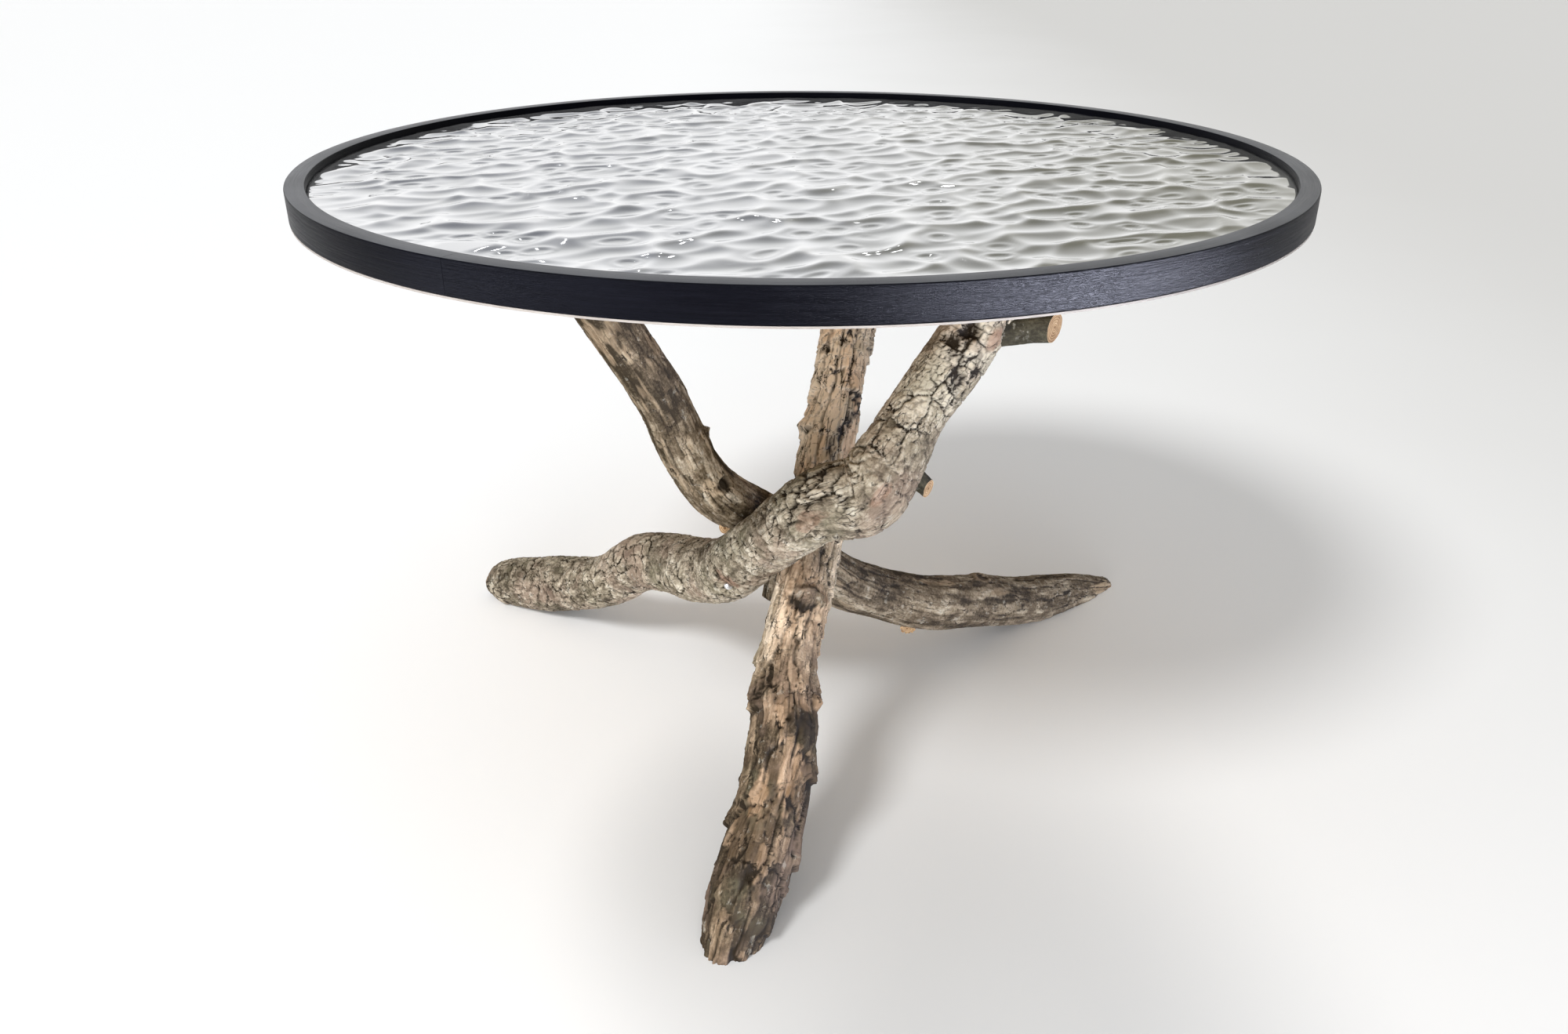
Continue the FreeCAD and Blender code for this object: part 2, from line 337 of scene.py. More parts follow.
def mesh_piece(name, shape, *finishes):
    """Turns a bmesh into an object at the origin that has these materials."""
    mesh = bpy.data.meshes.new(name)
    shape.to_mesh(mesh)
    shape.free()
    for finish in finishes:
        mesh.materials.append(finish)
    piece = bpy.data.objects.new(name, mesh)
    scene.collection.objects.link(piece)
    return piece


def floor_finish():
    material, tree, surface = new_finish("pale floor")
    place = tree.own_place()
    across, back, _ = tree.split(place)
    shade = tree.noise(place, 1.3, 2.0) * 0.12 + across * 0.5
    # The share of painted shade, growing towards the right and fading out towards the front
    right_shade_share = shade.between(*FLOOR_LEFT_TO_RIGHT) * back.between(*FLOOR_FRONT_TO_BACK)
    floor_colour_and_painted_shade = tree.mix(right_shade_share, FLOOR_LEFT_TINT, FLOOR_RIGHT_PAINTED_SHADE)
    # Pools of painted shadow darken the floor's colour near the table
    for shadow_x, shadow_y, reach, strength in PAINTED_SHADOW_POOLS:
        offset = (-shadow_x, -shadow_y * SHADOW_POOL_SQUEEZE, 0.0)
        away = tree.length(tree.stretched(place, (1.0, SHADOW_POOL_SQUEEZE, 1.0), offset))
        floor_colour_and_painted_shade = tree.mix((1 - away.between(reach * SHADOW_POOL_CORE, reach)) * strength, floor_colour_and_painted_shade, PAINTED_SHADOW_GREY)
    tree.feed(surface, {"Base Color": floor_colour_and_painted_shade, "Roughness": 0.9, "Specular IOR Level": 0.1})
    glow = tree.node("ShaderNodeEmission", {}, {"Color": floor_colour_and_painted_shade, "Strength": 1.0})
    camera_ray = tree.node("ShaderNodeLightPath", {}, {}, "Is Camera Ray")
    matte = Socket(tree, surface.outputs["BSDF"])
    both = tree.node("ShaderNodeMixShader", {}, {0: camera_ray * FLOOR_LIFT, 1: matte, 2: glow})
    tree.links.new(both.output, tree.nodes["Material Output"].inputs["Surface"])
    return material


shape = bmesh.new()
bmesh.ops.create_grid(shape, x_segments=4, y_segments=4, size=FLOOR_HALF)
bmesh.ops.translate(shape, verts=shape.verts, vec=(0, FLOOR_FRONT + FLOOR_HALF, 0))
floor = mesh_piece("floor", shape, floor_finish())
print("floor starts", FLOOR_FRONT, "m in front of the table")

# %% [markdown]
# ## The routes of the three branches
# A branch is a crooked line with a thickness that comes and goes. Each route is a short list of places
# from its foot to the table top: how far right and back as shares of the reach, how high as a share of the
# leg height, and how thick as a share of the branch's own diameter. These are the places that the solid
# branches follow. A smooth curve through them is then read at even steps of length.

# %% Routes
LEG_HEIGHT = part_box("base_panel")[0].z
LEG_REACH = 0.325
FINE_STEPS = 4

FRONT_DIAMETER = 48 * MM
FRONT_SHARES = [
    (-0.15, -1.00, -0.05, 0.72), (-0.11, -0.89, 0.04, 1.02), (-0.06, -0.76, 0.12, 1.00),
    (-0.03, -0.63, 0.20, 1.03), (-0.02, -0.47, 0.27, 0.92), (0.04, -0.21, 0.43, 0.90),
    (0.065, -0.07, 0.53, 0.88), (0.095, 0.05, 0.61, 0.84), (0.135, 0.28, 0.74, 0.88),
    (0.215, 0.74, 1.03, 0.86),
]
LEFT_DIAMETER = 52 * MM
LEFT_SHARES = [
    (-0.95, 0.44, 0.02, 0.36), (-0.88, 0.42, 0.04, 0.80), (-0.74, 0.36, 0.06, 0.98),
    (-0.63, 0.30, 0.09, 0.94), (-0.53, 0.22, 0.13, 0.90), (-0.43, 0.15, 0.20, 0.94),
    (-0.34, 0.08, 0.23, 1.00), (-0.25, -0.03, 0.26, 1.02), (-0.17, -0.14, 0.31, 0.98),
    (-0.09, -0.28, 0.41, 0.90), (0.04, -0.42, 0.54, 0.96), (0.14, -0.44, 0.57, 1.04),
    (0.20, -0.41, 0.63, 0.94), (0.25, -0.37, 0.69, 0.82), (0.33, -0.33, 0.77, 0.84),
    (0.43, -0.28, 0.88, 0.80), (0.57, -0.21, 1.03, 0.78),
]
RIGHT_DIAMETER = 48 * MM
RIGHT_SHARES = [
    (0.95, 0.52, -0.01, 0.44), (0.81, 0.43, 0.01, 0.80), (0.65, 0.30, 0.05, 0.92),
    (0.50, 0.18, 0.10, 0.99), (0.34, 0.06, 0.15, 1.00), (0.20, 0.00, 0.20, 0.93),
    (0.11, -0.06, 0.25, 0.92), (0.02, -0.08, 0.31, 0.95), (-0.09, -0.11, 0.40, 0.92),
    (-0.20, -0.19, 0.49, 0.83), (-0.26, -0.22, 0.58, 0.80), (-0.30, -0.25, 0.67, 0.76),
    (-0.35, -0.30, 0.76, 0.76), (-0.42, -0.35, 0.87, 0.78), (-0.52, -0.40, 1.03, 0.80),
]


def route(shares, diameter):
    """Places of a branch in metres, each with its radius as a fourth number."""
    scale = (LEG_REACH, LEG_REACH, LEG_HEIGHT, diameter / 2)
    return [Vector([share * size for share, size in zip(spot, scale)]) for spot in shares]


def on_curve(places, spot):
    """A point of the smooth curve through a list of places, where spot counts places from the first."""
    last = len(places) - 1
    first = min(int(spot), last - 1)
    share = spot - first
    before, start = places[max(first - 1, 0)], places[first]
    end, after = places[first + 1], places[min(first + 2, last)]
    bend = start * 2 + (end - before) * share
    bend = bend + (before * 2 - start * 5 + end * 4 - after) * share ** 2
    bend = bend + (start * 3 - before - end * 3 + after) * share ** 3
    return bend * 0.5


class Axis:
    """The middle line of a branch, read at even steps, with a side and an across at each step."""

    def __init__(self, places, steps):
        fine_steps = FINE_STEPS * steps
        fine = [on_curve(places, (len(places) - 1) * n / fine_steps) for n in range(fine_steps + 1)]
        runs = [0.0]
        for one, two in zip(fine, fine[1:]):
            runs.append(runs[-1] + (two - one).xyz.length)
        self.length = runs[-1]
        self.steps = steps
        self.points = []
        after = 1
        for step in range(steps + 1):
            goal = self.length * step / steps
            while after < len(runs) - 1 and runs[after] < goal:
                after += 1
            share = (goal - runs[after - 1]) / (runs[after] - runs[after - 1])
            self.points.append(fine[after - 1].lerp(fine[after], share))
        self.sides = []
        self.acrosses = []
        side = Vector((0, 0, 1))
        for step in range(steps + 1):
            ahead = self.points[min(step + 1, steps)] - self.points[max(step - 1, 0)]
            ahead = ahead.xyz.normalized()
            side = (side - ahead * side.dot(ahead)).normalized()
            self.sides.append(side)
            self.acrosses.append(ahead.cross(side))


front_route = route(FRONT_SHARES, FRONT_DIAMETER)
left_route = route(LEFT_SHARES, LEFT_DIAMETER)
right_route = route(RIGHT_SHARES, RIGHT_DIAMETER)
print("the front branch rises to", round(front_route[-1].z, 3), "m before it is cut")

# %% [markdown]
# ## Bark as real relief
# Bark could be painted on, but its plates and splits show on the outline, so here they are shape. The
# relief is worked out on a flat sheet that is later rolled round the branch: one measure goes round it and
# one along it. A net of ragged cells that closes on itself makes plates, the borders between cells make
# cracks of a real width, and noise drawn out along the branch makes fibres. Whole columns of numbers are
# worked at once with numpy. Beside its height each spot gets how cracked it is, its plate's tone and how
# bare the wood is, so that the colours can follow the relief.

# %% Relief helpers
CELL_MARGIN = 0.12
CELL_PLAY = 0.76
FAR_OFF = 9.0
SAME_CELL = 1e-6
SCATTER_WAVES = (127.1, 311.7, 74.7)
SCATTER_SPREAD = 43758.5453
NEXT_SEED = 1.7
NUMBER_SEED = 4.1
FRACTAL_FALL = 0.8
FRACTAL_STEP = 2.0


def smooth(low, high, value):
    """0 below low, 1 above high and a smooth rise in the stretch from one to the other."""
    share = np.clip((value - low) / (high - low), 0.0, 1.0)
    return share * share * (3 - 2 * share)


def gap(border, inner, outer):
    """1 within the inner millimetres of a plate's border, 0 beyond the outer ones."""
    return 1 - smooth(inner * MM, outer * MM, border)


def drawn_noise(sheet, around, along, seed=0.0, octaves=1):
    """Noise from about -1 to 1 at each spot of a sheet, at so many waves a metre each way."""
    spots = (sheet.place * np.array((around, around, along)) + seed).tolist()
    if octaves == 1:
        return np.array([noise.noise(spot) for spot in spots])
    return np.array([noise.fractal(spot, FRACTAL_FALL, FRACTAL_STEP, octaves) for spot in spots])


def patches(sheet, around, along, seed, low, high):
    """Soft patches, 0 where the noise is below low and 1 where it is above high."""
    return smooth(low, high, drawn_noise(sheet, around, along, seed))


def wander(sheet, far, near, far_share, near_share):
    """Two shifts that make a net ragged, round and along it: a slow drift with quick jags on it."""
    drifts = [drawn_noise(sheet, *far, seed) for seed in (0.0, 9.0)]
    jags = [drawn_noise(sheet, *near, seed) for seed in (0.0, 5.0)]
    return [far_share * drift + near_share * jag for drift, jag in zip(drifts, jags)]


def scatter(first, second, seed):
    """A steady number from 0 to 1 for each pair of whole numbers."""
    by_first, by_second, by_seed = SCATTER_WAVES
    wave = np.sin(first * by_first + second * by_second + seed * by_seed) * SCATTER_SPREAD
    return wave - np.floor(wave)


def in_cell(first, second, seed):
    """A steady place inside a cell, as a share of its width, clear of its edges."""
    return CELL_MARGIN + CELL_PLAY * scatter(first, second, seed)


def plate_net(sheet, count, length, seed, shifts):
    """Ragged plates wrapped round a branch, so many round it and each about so long.

    Gives the distance to the plate's border in metres, a number from 0 to 1 for the plate, and how far up
    and how far round the plate a spot lies, each from about -0.5 to 0.5."""
    around = sheet.turn / FULL_TURN * count + shifts[0]
    along = sheet.along / length + shifts[1]
    best = np.full(around.shape, FAR_OFF)
    own_around, own_along, own_number = around * 0, around * 0, around * 0
    corners = []
    for step_around in (-1, 0, 1):
        for step_along in (-1, 0, 1):
            column, row = np.floor(around) + step_around, np.floor(along) + step_along
            wrapped = np.mod(column, count)
            centre_around = column + in_cell(wrapped, row, seed)
            centre_along = row + in_cell(wrapped, row, seed + NEXT_SEED)
            corners.append((centre_around, centre_along))
            off = (centre_around - around) ** 2 + (centre_along - along) ** 2
            closer = off < best
            best = np.where(closer, off, best)
            own_around = np.where(closer, centre_around, own_around)
            own_along = np.where(closer, centre_along, own_along)
            own_number = np.where(closer, scatter(wrapped, row, seed + NUMBER_SEED), own_number)
    border = np.full(around.shape, FAR_OFF)
    width = FULL_TURN * np.maximum(sheet.radius, MM) / count
    for centre_around, centre_along in corners:
        step_around, step_along = centre_around - own_around, centre_along - own_along
        apart = np.hypot(step_around, step_along)
        other = apart > SAME_CELL
        apart = np.where(other, apart, 1.0)
        lean_around, lean_along = step_around / apart, step_along / apart
        reach = ((own_around + centre_around) / 2 - around) * lean_around
        reach = reach + ((own_along + centre_along) / 2 - along) * lean_along
        reach = reach / np.sqrt((lean_around / width) ** 2 + (lean_along / length) ** 2 + SAME_CELL ** 2)
        border = np.where(other, np.minimum(border, reach), border)
    return border, own_number, along - own_along, around - own_around


print("relief helpers are ready")

# %% [markdown]
# ## Kinds of bark
# Each kind is a sum of tuned layers: nets of plates, the gaps between them, noise and fibres. The
# weights in a height and the widths of gaps are in millimetres, and the scales of noise are in waves a
# metre. Shares of the way from foot to top say where along the branch a layer fades in or out.

# %% Plated bark
FOLD_PLACE = 0.505
FOLD_SPREAD = 0.055


def plated_bark(sheet):
    """Small polygonal plates with fine cracks, and patches of a wider net of deep ones higher up."""
    far, near = (45, 45), (210, 210)
    shifts = wander(sheet, far, near, 0.70, 0.26)
    border, number, up, _ = plate_net(sheet, 14, 11.5 * MM, 2.0, shifts)
    fine_border, fine_number, _, _ = plate_net(sheet, 33, 4.6 * MM, 6.0, shifts)
    wide_shifts = wander(sheet, far, near, 0.35, 0.10)
    wide_border, wide_number, _, _ = plate_net(sheet, 8, 21 * MM, 11.0, wide_shifts)
    upper = smooth(0.40, 0.62, sheet.share)
    arm = smooth(0.70, 0.80, sheet.share)
    hollow = smooth(0.84, 0.91, sheet.share)
    foot = 1 - smooth(0.10, 0.35, sheet.share)
    shown = 0.45 + 0.55 * patches(sheet, 38, 38, 17.0, -0.35, 0.25)
    crack = gap(border, 0.15, 1.05) * shown * (1 - 0.40 * upper)
    fine = gap(fine_border, 0.05, 0.60) * (1.2 - shown + 0.3 * arm)
    deep = gap(wide_border, 0.25, 1.25) * (0.10 + 0.90 * upper * patches(sheet, 17, 17, 3.0, -0.25, 0.30))
    fold = np.exp(-((sheet.along - FOLD_PLACE) / FOLD_SPREAD) ** 2)
    fold = fold * patches(sheet, 30, 30, 23.0, -0.35, 0.15)
    deep = np.maximum(deep, gap(border, 0.20, 1.40) * fold)
    height = 0.70 * smooth(0, 2.2 * MM, border) * (1 - 0.6 * arm)
    height -= 0.45 * crack + 1.9 * deep + 0.16 * fine
    height += (number - 0.5) * 0.7 * (1 - 0.5 * arm) + (fine_number - 0.5) * 0.25 + 0.35 * up
    height += 0.24 * drawn_noise(sheet, 420, 300, 1.0, 4) + 1.3 * drawn_noise(sheet, 24, 24, 7.0)
    pale = patches(sheet, 26, 14, 41.0, -0.10, 0.35)
    tone = 0.45 * number + 0.30 * wide_number + 0.45 * fine_number - 0.10 - 0.13 * foot
    # The arm is paler, partly from its own pale patches and partly from painted light where the table top
    # shades it; round the hollow it is darker, with painted shade
    tone += (0.14 + 0.82 * pale) * arm * (1 - 0.9 * hollow) - 0.15 * hollow
    return height * MM, np.maximum(np.maximum(crack, 0.65 * fine), deep), tone, 0 * tone


print("plated bark folds", FOLD_PLACE, "m from its foot")

# %% Flaky bark
def flaky_bark(sheet):
    """Long loose flakes low down and short scales higher up, pale there partly of their own tone and partly
    by painted light, over a tan layer that shows in places.
    """
    shifts = wander(sheet, (30, 14), (170, 60), 0.50, 0.20)
    border, number, up, side = plate_net(sheet, 10, 62 * MM, 3.0, shifts)
    thin_border, thin_number, thin_up, _ = plate_net(sheet, 19, 27 * MM, 8.0, shifts)
    chip_border, chip_number, chip_up, _ = plate_net(sheet, 24, 13 * MM, 5.0, shifts)
    low = 1 - smooth(0.16, 0.34, sheet.share)
    high = smooth(0.24, 0.33, sheet.share)
    top = smooth(0.42, 0.62, sheet.share)
    open_up = 0.55 + 0.75 * patches(sheet, 35, 35, 21.0, -0.4, 0.4)
    crack = gap(border / open_up, 0.25, 1.35)
    thin = gap(thin_border, 0.15, 0.85) * (1 - 0.55 * high)
    chip = gap(chip_border, 0.05, 0.60) * (0.35 + 0.45 * high * patches(sheet, 70, 40, 61.0, -0.35, 0.25))
    lift = 0.75 * number + 0.25 * patches(sheet, 20, 10, 4.0, -0.5, 0.5)
    height = (lift - 0.5) * 3.4 - 3.0 * up * (number - 0.2) + 1.8 * side * (0.5 - number)
    height += (thin_number - 0.5) * 1.3 - 0.8 * thin_up * thin_number
    height += (chip_number - 0.5) * 0.75 - 1.1 * chip_up * high
    height -= 1.7 * crack + 0.7 * thin + 0.5 * chip
    height += 0.75 * drawn_noise(sheet, 330, 40, 1.0, 4) + 1.3 * drawn_noise(sheet, 26, 26, 7.0)
    bare = 0.30 * (1 - smooth(0.30, 0.66, lift - 0.10 * thin_number))
    bare += 0.35 * smooth(0.55, 0.95, thin_number)
    bare = bare * (1 - 0.35 * high) + 0.60 * patches(sheet, 34, 15, 31.0, -0.10, 0.35) * high
    tone = 0.45 * number + 0.35 * thin_number + (0.25 + 0.35 * high) * chip_number
    # Paler towards the top: partly the bark's own tone and partly painted light where the table top shades
    # it
    tone += 0.46 * high + 1.25 * top - 0.60 * low
    tone -= 0.62 * patches(sheet, 24, 11, 51.0, 0.05, 0.45) * high
    crack = crack * (1 - 0.30 * high)
    return height * MM, np.maximum(np.maximum(crack, 0.72 * thin), chip), tone, bare


print("flaky bark is ready")

# %% Weathered and twig bark
def weathered_bark(sheet):
    """Thin bark worn smooth: broken streaks along the grain, narrow splits and worn pale patches."""
    shifts = wander(sheet, (28, 12), (190, 70), 0.55, 0.22)
    border, number, _, _ = plate_net(sheet, 11, 58 * MM, 4.0, shifts)
    thin_border, thin_number, _, _ = plate_net(sheet, 26, 15 * MM, 9.0, shifts)
    crack = gap(border, 0.10, 0.95) * patches(sheet, 22, 9, 2.0, -0.35, 0.25)
    thin = gap(thin_border, 0.05, 0.60) * 0.7
    grain = drawn_noise(sheet, 120, 16, 1.0, 5)
    height = 0.75 * grain + (number - 0.5) * 0.8 + (thin_number - 0.5) * 0.5 - 1.2 * crack - 0.3 * thin
    height += 0.25 * drawn_noise(sheet, 480, 70, 6.0, 3) + 1.4 * drawn_noise(sheet, 22, 22, 7.0)
    foot = 1 - smooth(0.38, 0.50, sheet.share)
    tone = 0.40 + 0.45 * grain + 0.50 * (thin_number - 0.5) + 0.30 * (number - 0.5) + 0.02 * foot
    tone -= 0.45 * smooth(0.7, 0.9, sheet.share)
    worn = smooth(0.10, 0.50, drawn_noise(sheet, 150, 30, 13.0, 2)) * (1 - 0.7 * foot)
    return height * MM, np.maximum(0.95 * crack, 0.75 * thin), tone, 0.55 * worn


def twig_bark(sheet):
    """Smooth young bark with faint wrinkles."""
    wrinkle = drawn_noise(sheet, 150, 90, 2.0, 4)
    height = 0.45 * wrinkle + 0.5 * drawn_noise(sheet, 60, 60, 4.0)
    return height * MM, 0.25 * smooth(0.2, 0.6, wrinkle), 0.5 + 0.4 * wrinkle, 0 * wrinkle


print("kinds of bark: plated, flaky, weathered, twig")

# %% [markdown]
# ## Rolling a sheet of bark round a branch
# A tube could be swept along a curve, but then the relief would have no rows to work on. A flat grid has
# them: its width is rolled once round the axis and its height is laid along it, and every vertex is pushed
# out by the relief. Merging doubles closes the long seam, two planar cuts give the foot and the top, and
# the holes that they leave are filled with faces of cut wood.

# %% Sheet of bark
AROUND = 118
ALONG = 800
WELD = 0.002 * MM
DEEP_DIP = 2.0
FULL_RELIEF_RADIUS = 6 * MM
DENT_FLOOR = 2.2 * MM
DENT_REACH = 14 * MM
DENT_INNER = 5.0 * MM
DENT_OUTER = 13 * MM


class Sheet:
    """The spots of a sheet of bark as columns of numbers, one row for each vertex of its grid."""

    def __init__(self, axis, grid_places, tip):
        self.step = np.rint((grid_places[:, 1] + 0.5) * axis.steps).astype(int)
        self.turn = FULL_TURN * (grid_places[:, 0] + 0.5)
        self.share = self.step / axis.steps
        self.along = axis.length * self.share
        self.radius = np.array([point.w for point in axis.points])[self.step]
        if tip:
            share = np.clip(1 - self.along / tip, 0.0, 1.0)
            self.radius = self.radius * np.sqrt(1 - share ** 2)
        round_x, round_y = np.cos(self.turn), np.sin(self.turn)
        self.place = np.stack((self.radius * round_x, self.radius * round_y, self.along), axis=1)
        sides = np.array(axis.sides)[self.step]
        acrosses = np.array(axis.acrosses)[self.step]
        self.outward = sides * round_x[:, None] + acrosses * round_y[:, None]
        self.middle = np.array([point.xyz for point in axis.points])[self.step]

    def off_by(self, along, turn, length, width):
        """How far up and how far round each spot lies from one place, in its lengths and widths."""
        across = np.mod(self.turn - math.radians(turn) + math.pi, FULL_TURN) - math.pi
        return (self.along - along) / (length * MM), across * self.radius / (width * MM)


def marked(sheet, marks):
    """What the listed knots and scars do to each spot: height, crack and bareness to add."""
    height, crack, bare = 0 * sheet.turn, 0 * sheet.turn, 0 * sheet.turn
    ragged = 1 + 0.45 * drawn_noise(sheet, 140, 90, 6.0, 3)
    grain = 0.30 + 0.70 * smooth(-0.30, 0.20, drawn_noise(sheet, 300, 130, 15.0, 3))
    for along, turn, width, length, rise, dip, mark_crack, mark_bare in marks:
        off = np.hypot(*sheet.off_by(along, turn, length, width)) * ragged
        core = 1 - smooth(0.30, 0.75, off)
        height += (rise * np.exp(-1.8 * off ** 2) - dip * core) * MM
        crack += mark_crack * core * (grain if dip < DEEP_DIP and mark_crack > 0 else 1.0)
        bare += mark_bare * (1 - smooth(0.55, 1.05, off))
    return height, crack, bare


def flaked(sheet, flakes):
    """What the listed loose flakes do: each rises to its lower end, which breaks off over a painted shadow.
    """
    height, crack = 0 * sheet.turn, 0 * sheet.turn
    jag = 0.35 * drawn_noise(sheet, 240, 60, 12.0)
    for along, turn, width, length, rise in flakes:
        up, across = sheet.off_by(along, turn, length, width)
        up = up + jag
        broad = np.exp(-1.6 * across ** 2)
        height += rise * MM * broad * np.clip((1 - up) / 2, 0.0, 1.0) * smooth(-1.10, -0.90, up)
        # A painted shadow just below each flake's lifted end
        crack += 0.9 * broad * np.exp(-((up + 1.15) / 0.16) ** 2)
    return height, crack


def pressed_in(spots, head, inward):
    """Presses the bark in round a screw head, so that the head lies open at the foot of a dent."""
    off = spots - head
    depth = off @ inward
    aside = np.linalg.norm(off - depth[:, None] * inward, axis=1)
    push = np.clip(DENT_FLOOR - depth, 0.0, DENT_REACH) * (1 - smooth(DENT_INNER, DENT_OUTER, aside))
    return spots + np.where(np.abs(depth) < DENT_REACH, push, 0.0)[:, None] * inward


def roll_bark(places, bark, marks=(), flakes=(), around=AROUND, along_steps=ALONG, tip=0.0, screw=None):
    """A bmesh tube of bark that follows the places, open at both ends, with its attributes."""
    axis = Axis(places, along_steps)
    shape = bmesh.new()
    bmesh.ops.create_grid(shape, x_segments=around, y_segments=along_steps, size=0.5)
    sheet = Sheet(axis, np.array([vert.co for vert in shape.verts]), tip)
    height, crack, tone, bare = bark(sheet)
    more_height, more_crack, more_bare = marked(sheet, marks)
    flake_height, flake_shadow = flaked(sheet, flakes)
    height = height + more_height + flake_height
    reach = sheet.radius + np.minimum(sheet.radius / FULL_RELIEF_RADIUS, 1.0) * height
    places_out = sheet.middle + sheet.outward * np.maximum(reach, 0.0)[:, None]
    if screw:
        places_out = pressed_in(places_out, np.array(screw[0]), np.array(screw[1]))
    layers = {
        "crack": np.clip(crack + more_crack + flake_shadow, 0.0, 1.0),
        "tone": tone,
        "bare": np.clip(bare + more_bare, 0.0, 1.0),
    }
    place_layer = shape.verts.layers.float_vector.new("bark_place")
    number_layers = [shape.verts.layers.float.new(name) for name in layers]
    columns = list(layers.values())
    for row, vert in enumerate(shape.verts):
        vert.co = places_out[row]
        vert[place_layer] = sheet.place[row]
        for layer, column in zip(number_layers, columns):
            vert[layer] = column[row]
    bmesh.ops.remove_doubles(shape, verts=shape.verts, dist=WELD)
    return shape


print("a sheet of bark is", AROUND, "faces round and", ALONG, "along")

# %% Cutting and closing
def split_large(shape):
    """Cuts every face with more than four corners into triangles."""
    bmesh.ops.triangulate(shape, faces=[face for face in shape.faces if len(face.verts) > 4])


def close_ends(shape):
    """Fills every open loop with cut wood and turns all faces outwards."""
    for face in shape.faces:
        face.smooth = True
    loops = [edge for edge in shape.edges if edge.is_boundary]
    caps = bmesh.ops.holes_fill(shape, edges=loops, sides=0)["faces"]
    for cap in caps:
        cap.material_index = 1
        cap.smooth = False
    bmesh.ops.recalc_face_normals(shape, faces=shape.faces)
    split_large(shape)


def cut_off(shape, place, beyond):
    """Cuts a shape at the plane through a place and drops what lies beyond it."""
    geometry = list(shape.verts) + list(shape.edges) + list(shape.faces)
    bmesh.ops.bisect_plane(shape, geom=geometry, plane_co=place, plane_no=beyond, clear_outer=True)


def table_piece(name, shape, finishes, node=None):
    """A visible piece of the table, on its one body, which may stand for a node of the frame."""
    piece = mesh_piece(name, shape, *finishes)
    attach(piece, "root")
    if node:
        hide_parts(node)
    print(name, "has", len(piece.data.polygons), "faces")


def branch(name, places, bark, marks, finishes, node, flakes=(), tip=0.0, screw=None):
    """One whole branch between the floor and the underside of the top."""
    shape = roll_bark(places, bark, marks, flakes, tip=tip, screw=screw)
    cut_off(shape, (0, 0, 0), (0, 0, -1))
    cut_off(shape, (0, 0, LEG_HEIGHT), (0, 0, 1))
    close_ends(shape)
    table_piece(name, shape, finishes, node)


print("branches are cut off", round(LEG_HEIGHT, 3), "m above the floor")

# %% [markdown]
# ## Bark and cut wood finishes
# The colour of bark is mostly its relief: pale where a plate is worn, dark in a crack, orange-tan where
# the outer layer has gone. So the finish reads the tone, crack and bareness that the mesh carries, which
# also hold some painted light and painted shadow, and adds finer mottling from noise on the straightened
# coordinates, which turns with the branch.

# %% Bark finish
MOTTLE_SCALE = 75.0
SPECKLE_SCALE = 520.0
STREAK_SCALE = 330.0
HAIR_SCALE = 210.0
HAIR_BEND = 0.012
LICHEN_GREY = (0.50, 0.49, 0.43)
FLUSH_PINK = (0.36, 0.255, 0.20)
MOSS_GREEN = (0.225, 0.215, 0.140)
CRACK_AND_PAINTED_SHADOW_BROWN = (0.024, 0.018, 0.012)
LEFT_BODY = [(0.12, (0.070, 0.056, 0.038)), (0.38, (0.225, 0.188, 0.138)),
             (0.58, (0.415, 0.360, 0.275)), (0.85, (0.660, 0.605, 0.500))]
LEFT_WOOD = [(0.25, (0.16, 0.092, 0.060)), (0.55, (0.31, 0.190, 0.135)), (0.8, (0.44, 0.31, 0.235))]
# The palest front stops mostly serve the upper part, whose paleness is partly painted light
FRONT_BODY = [(0.15, (0.045, 0.033, 0.021)), (0.40, (0.145, 0.108, 0.070)),
              (0.60, (0.285, 0.218, 0.145)), (0.80, (0.520, 0.420, 0.305)), (1.0, (0.80, 0.680, 0.535))]
FRONT_WOOD = [(0.22, (0.19, 0.120, 0.066)), (0.50, (0.40, 0.280, 0.185)), (0.8, (0.80, 0.620, 0.450))]
RIGHT_BODY = [(0.15, (0.042, 0.031, 0.018)), (0.40, (0.148, 0.113, 0.074)),
              (0.60, (0.300, 0.245, 0.175)), (0.85, (0.520, 0.455, 0.355))]
RIGHT_WOOD = [(0.22, (0.21, 0.150, 0.098)), (0.50, (0.42, 0.325, 0.220)), (0.8, (0.62, 0.525, 0.400))]
OLIVE_BODY = [(0.15, (0.022, 0.020, 0.013)), (0.45, (0.052, 0.047, 0.030)), (0.85, (0.120, 0.110, 0.075))]


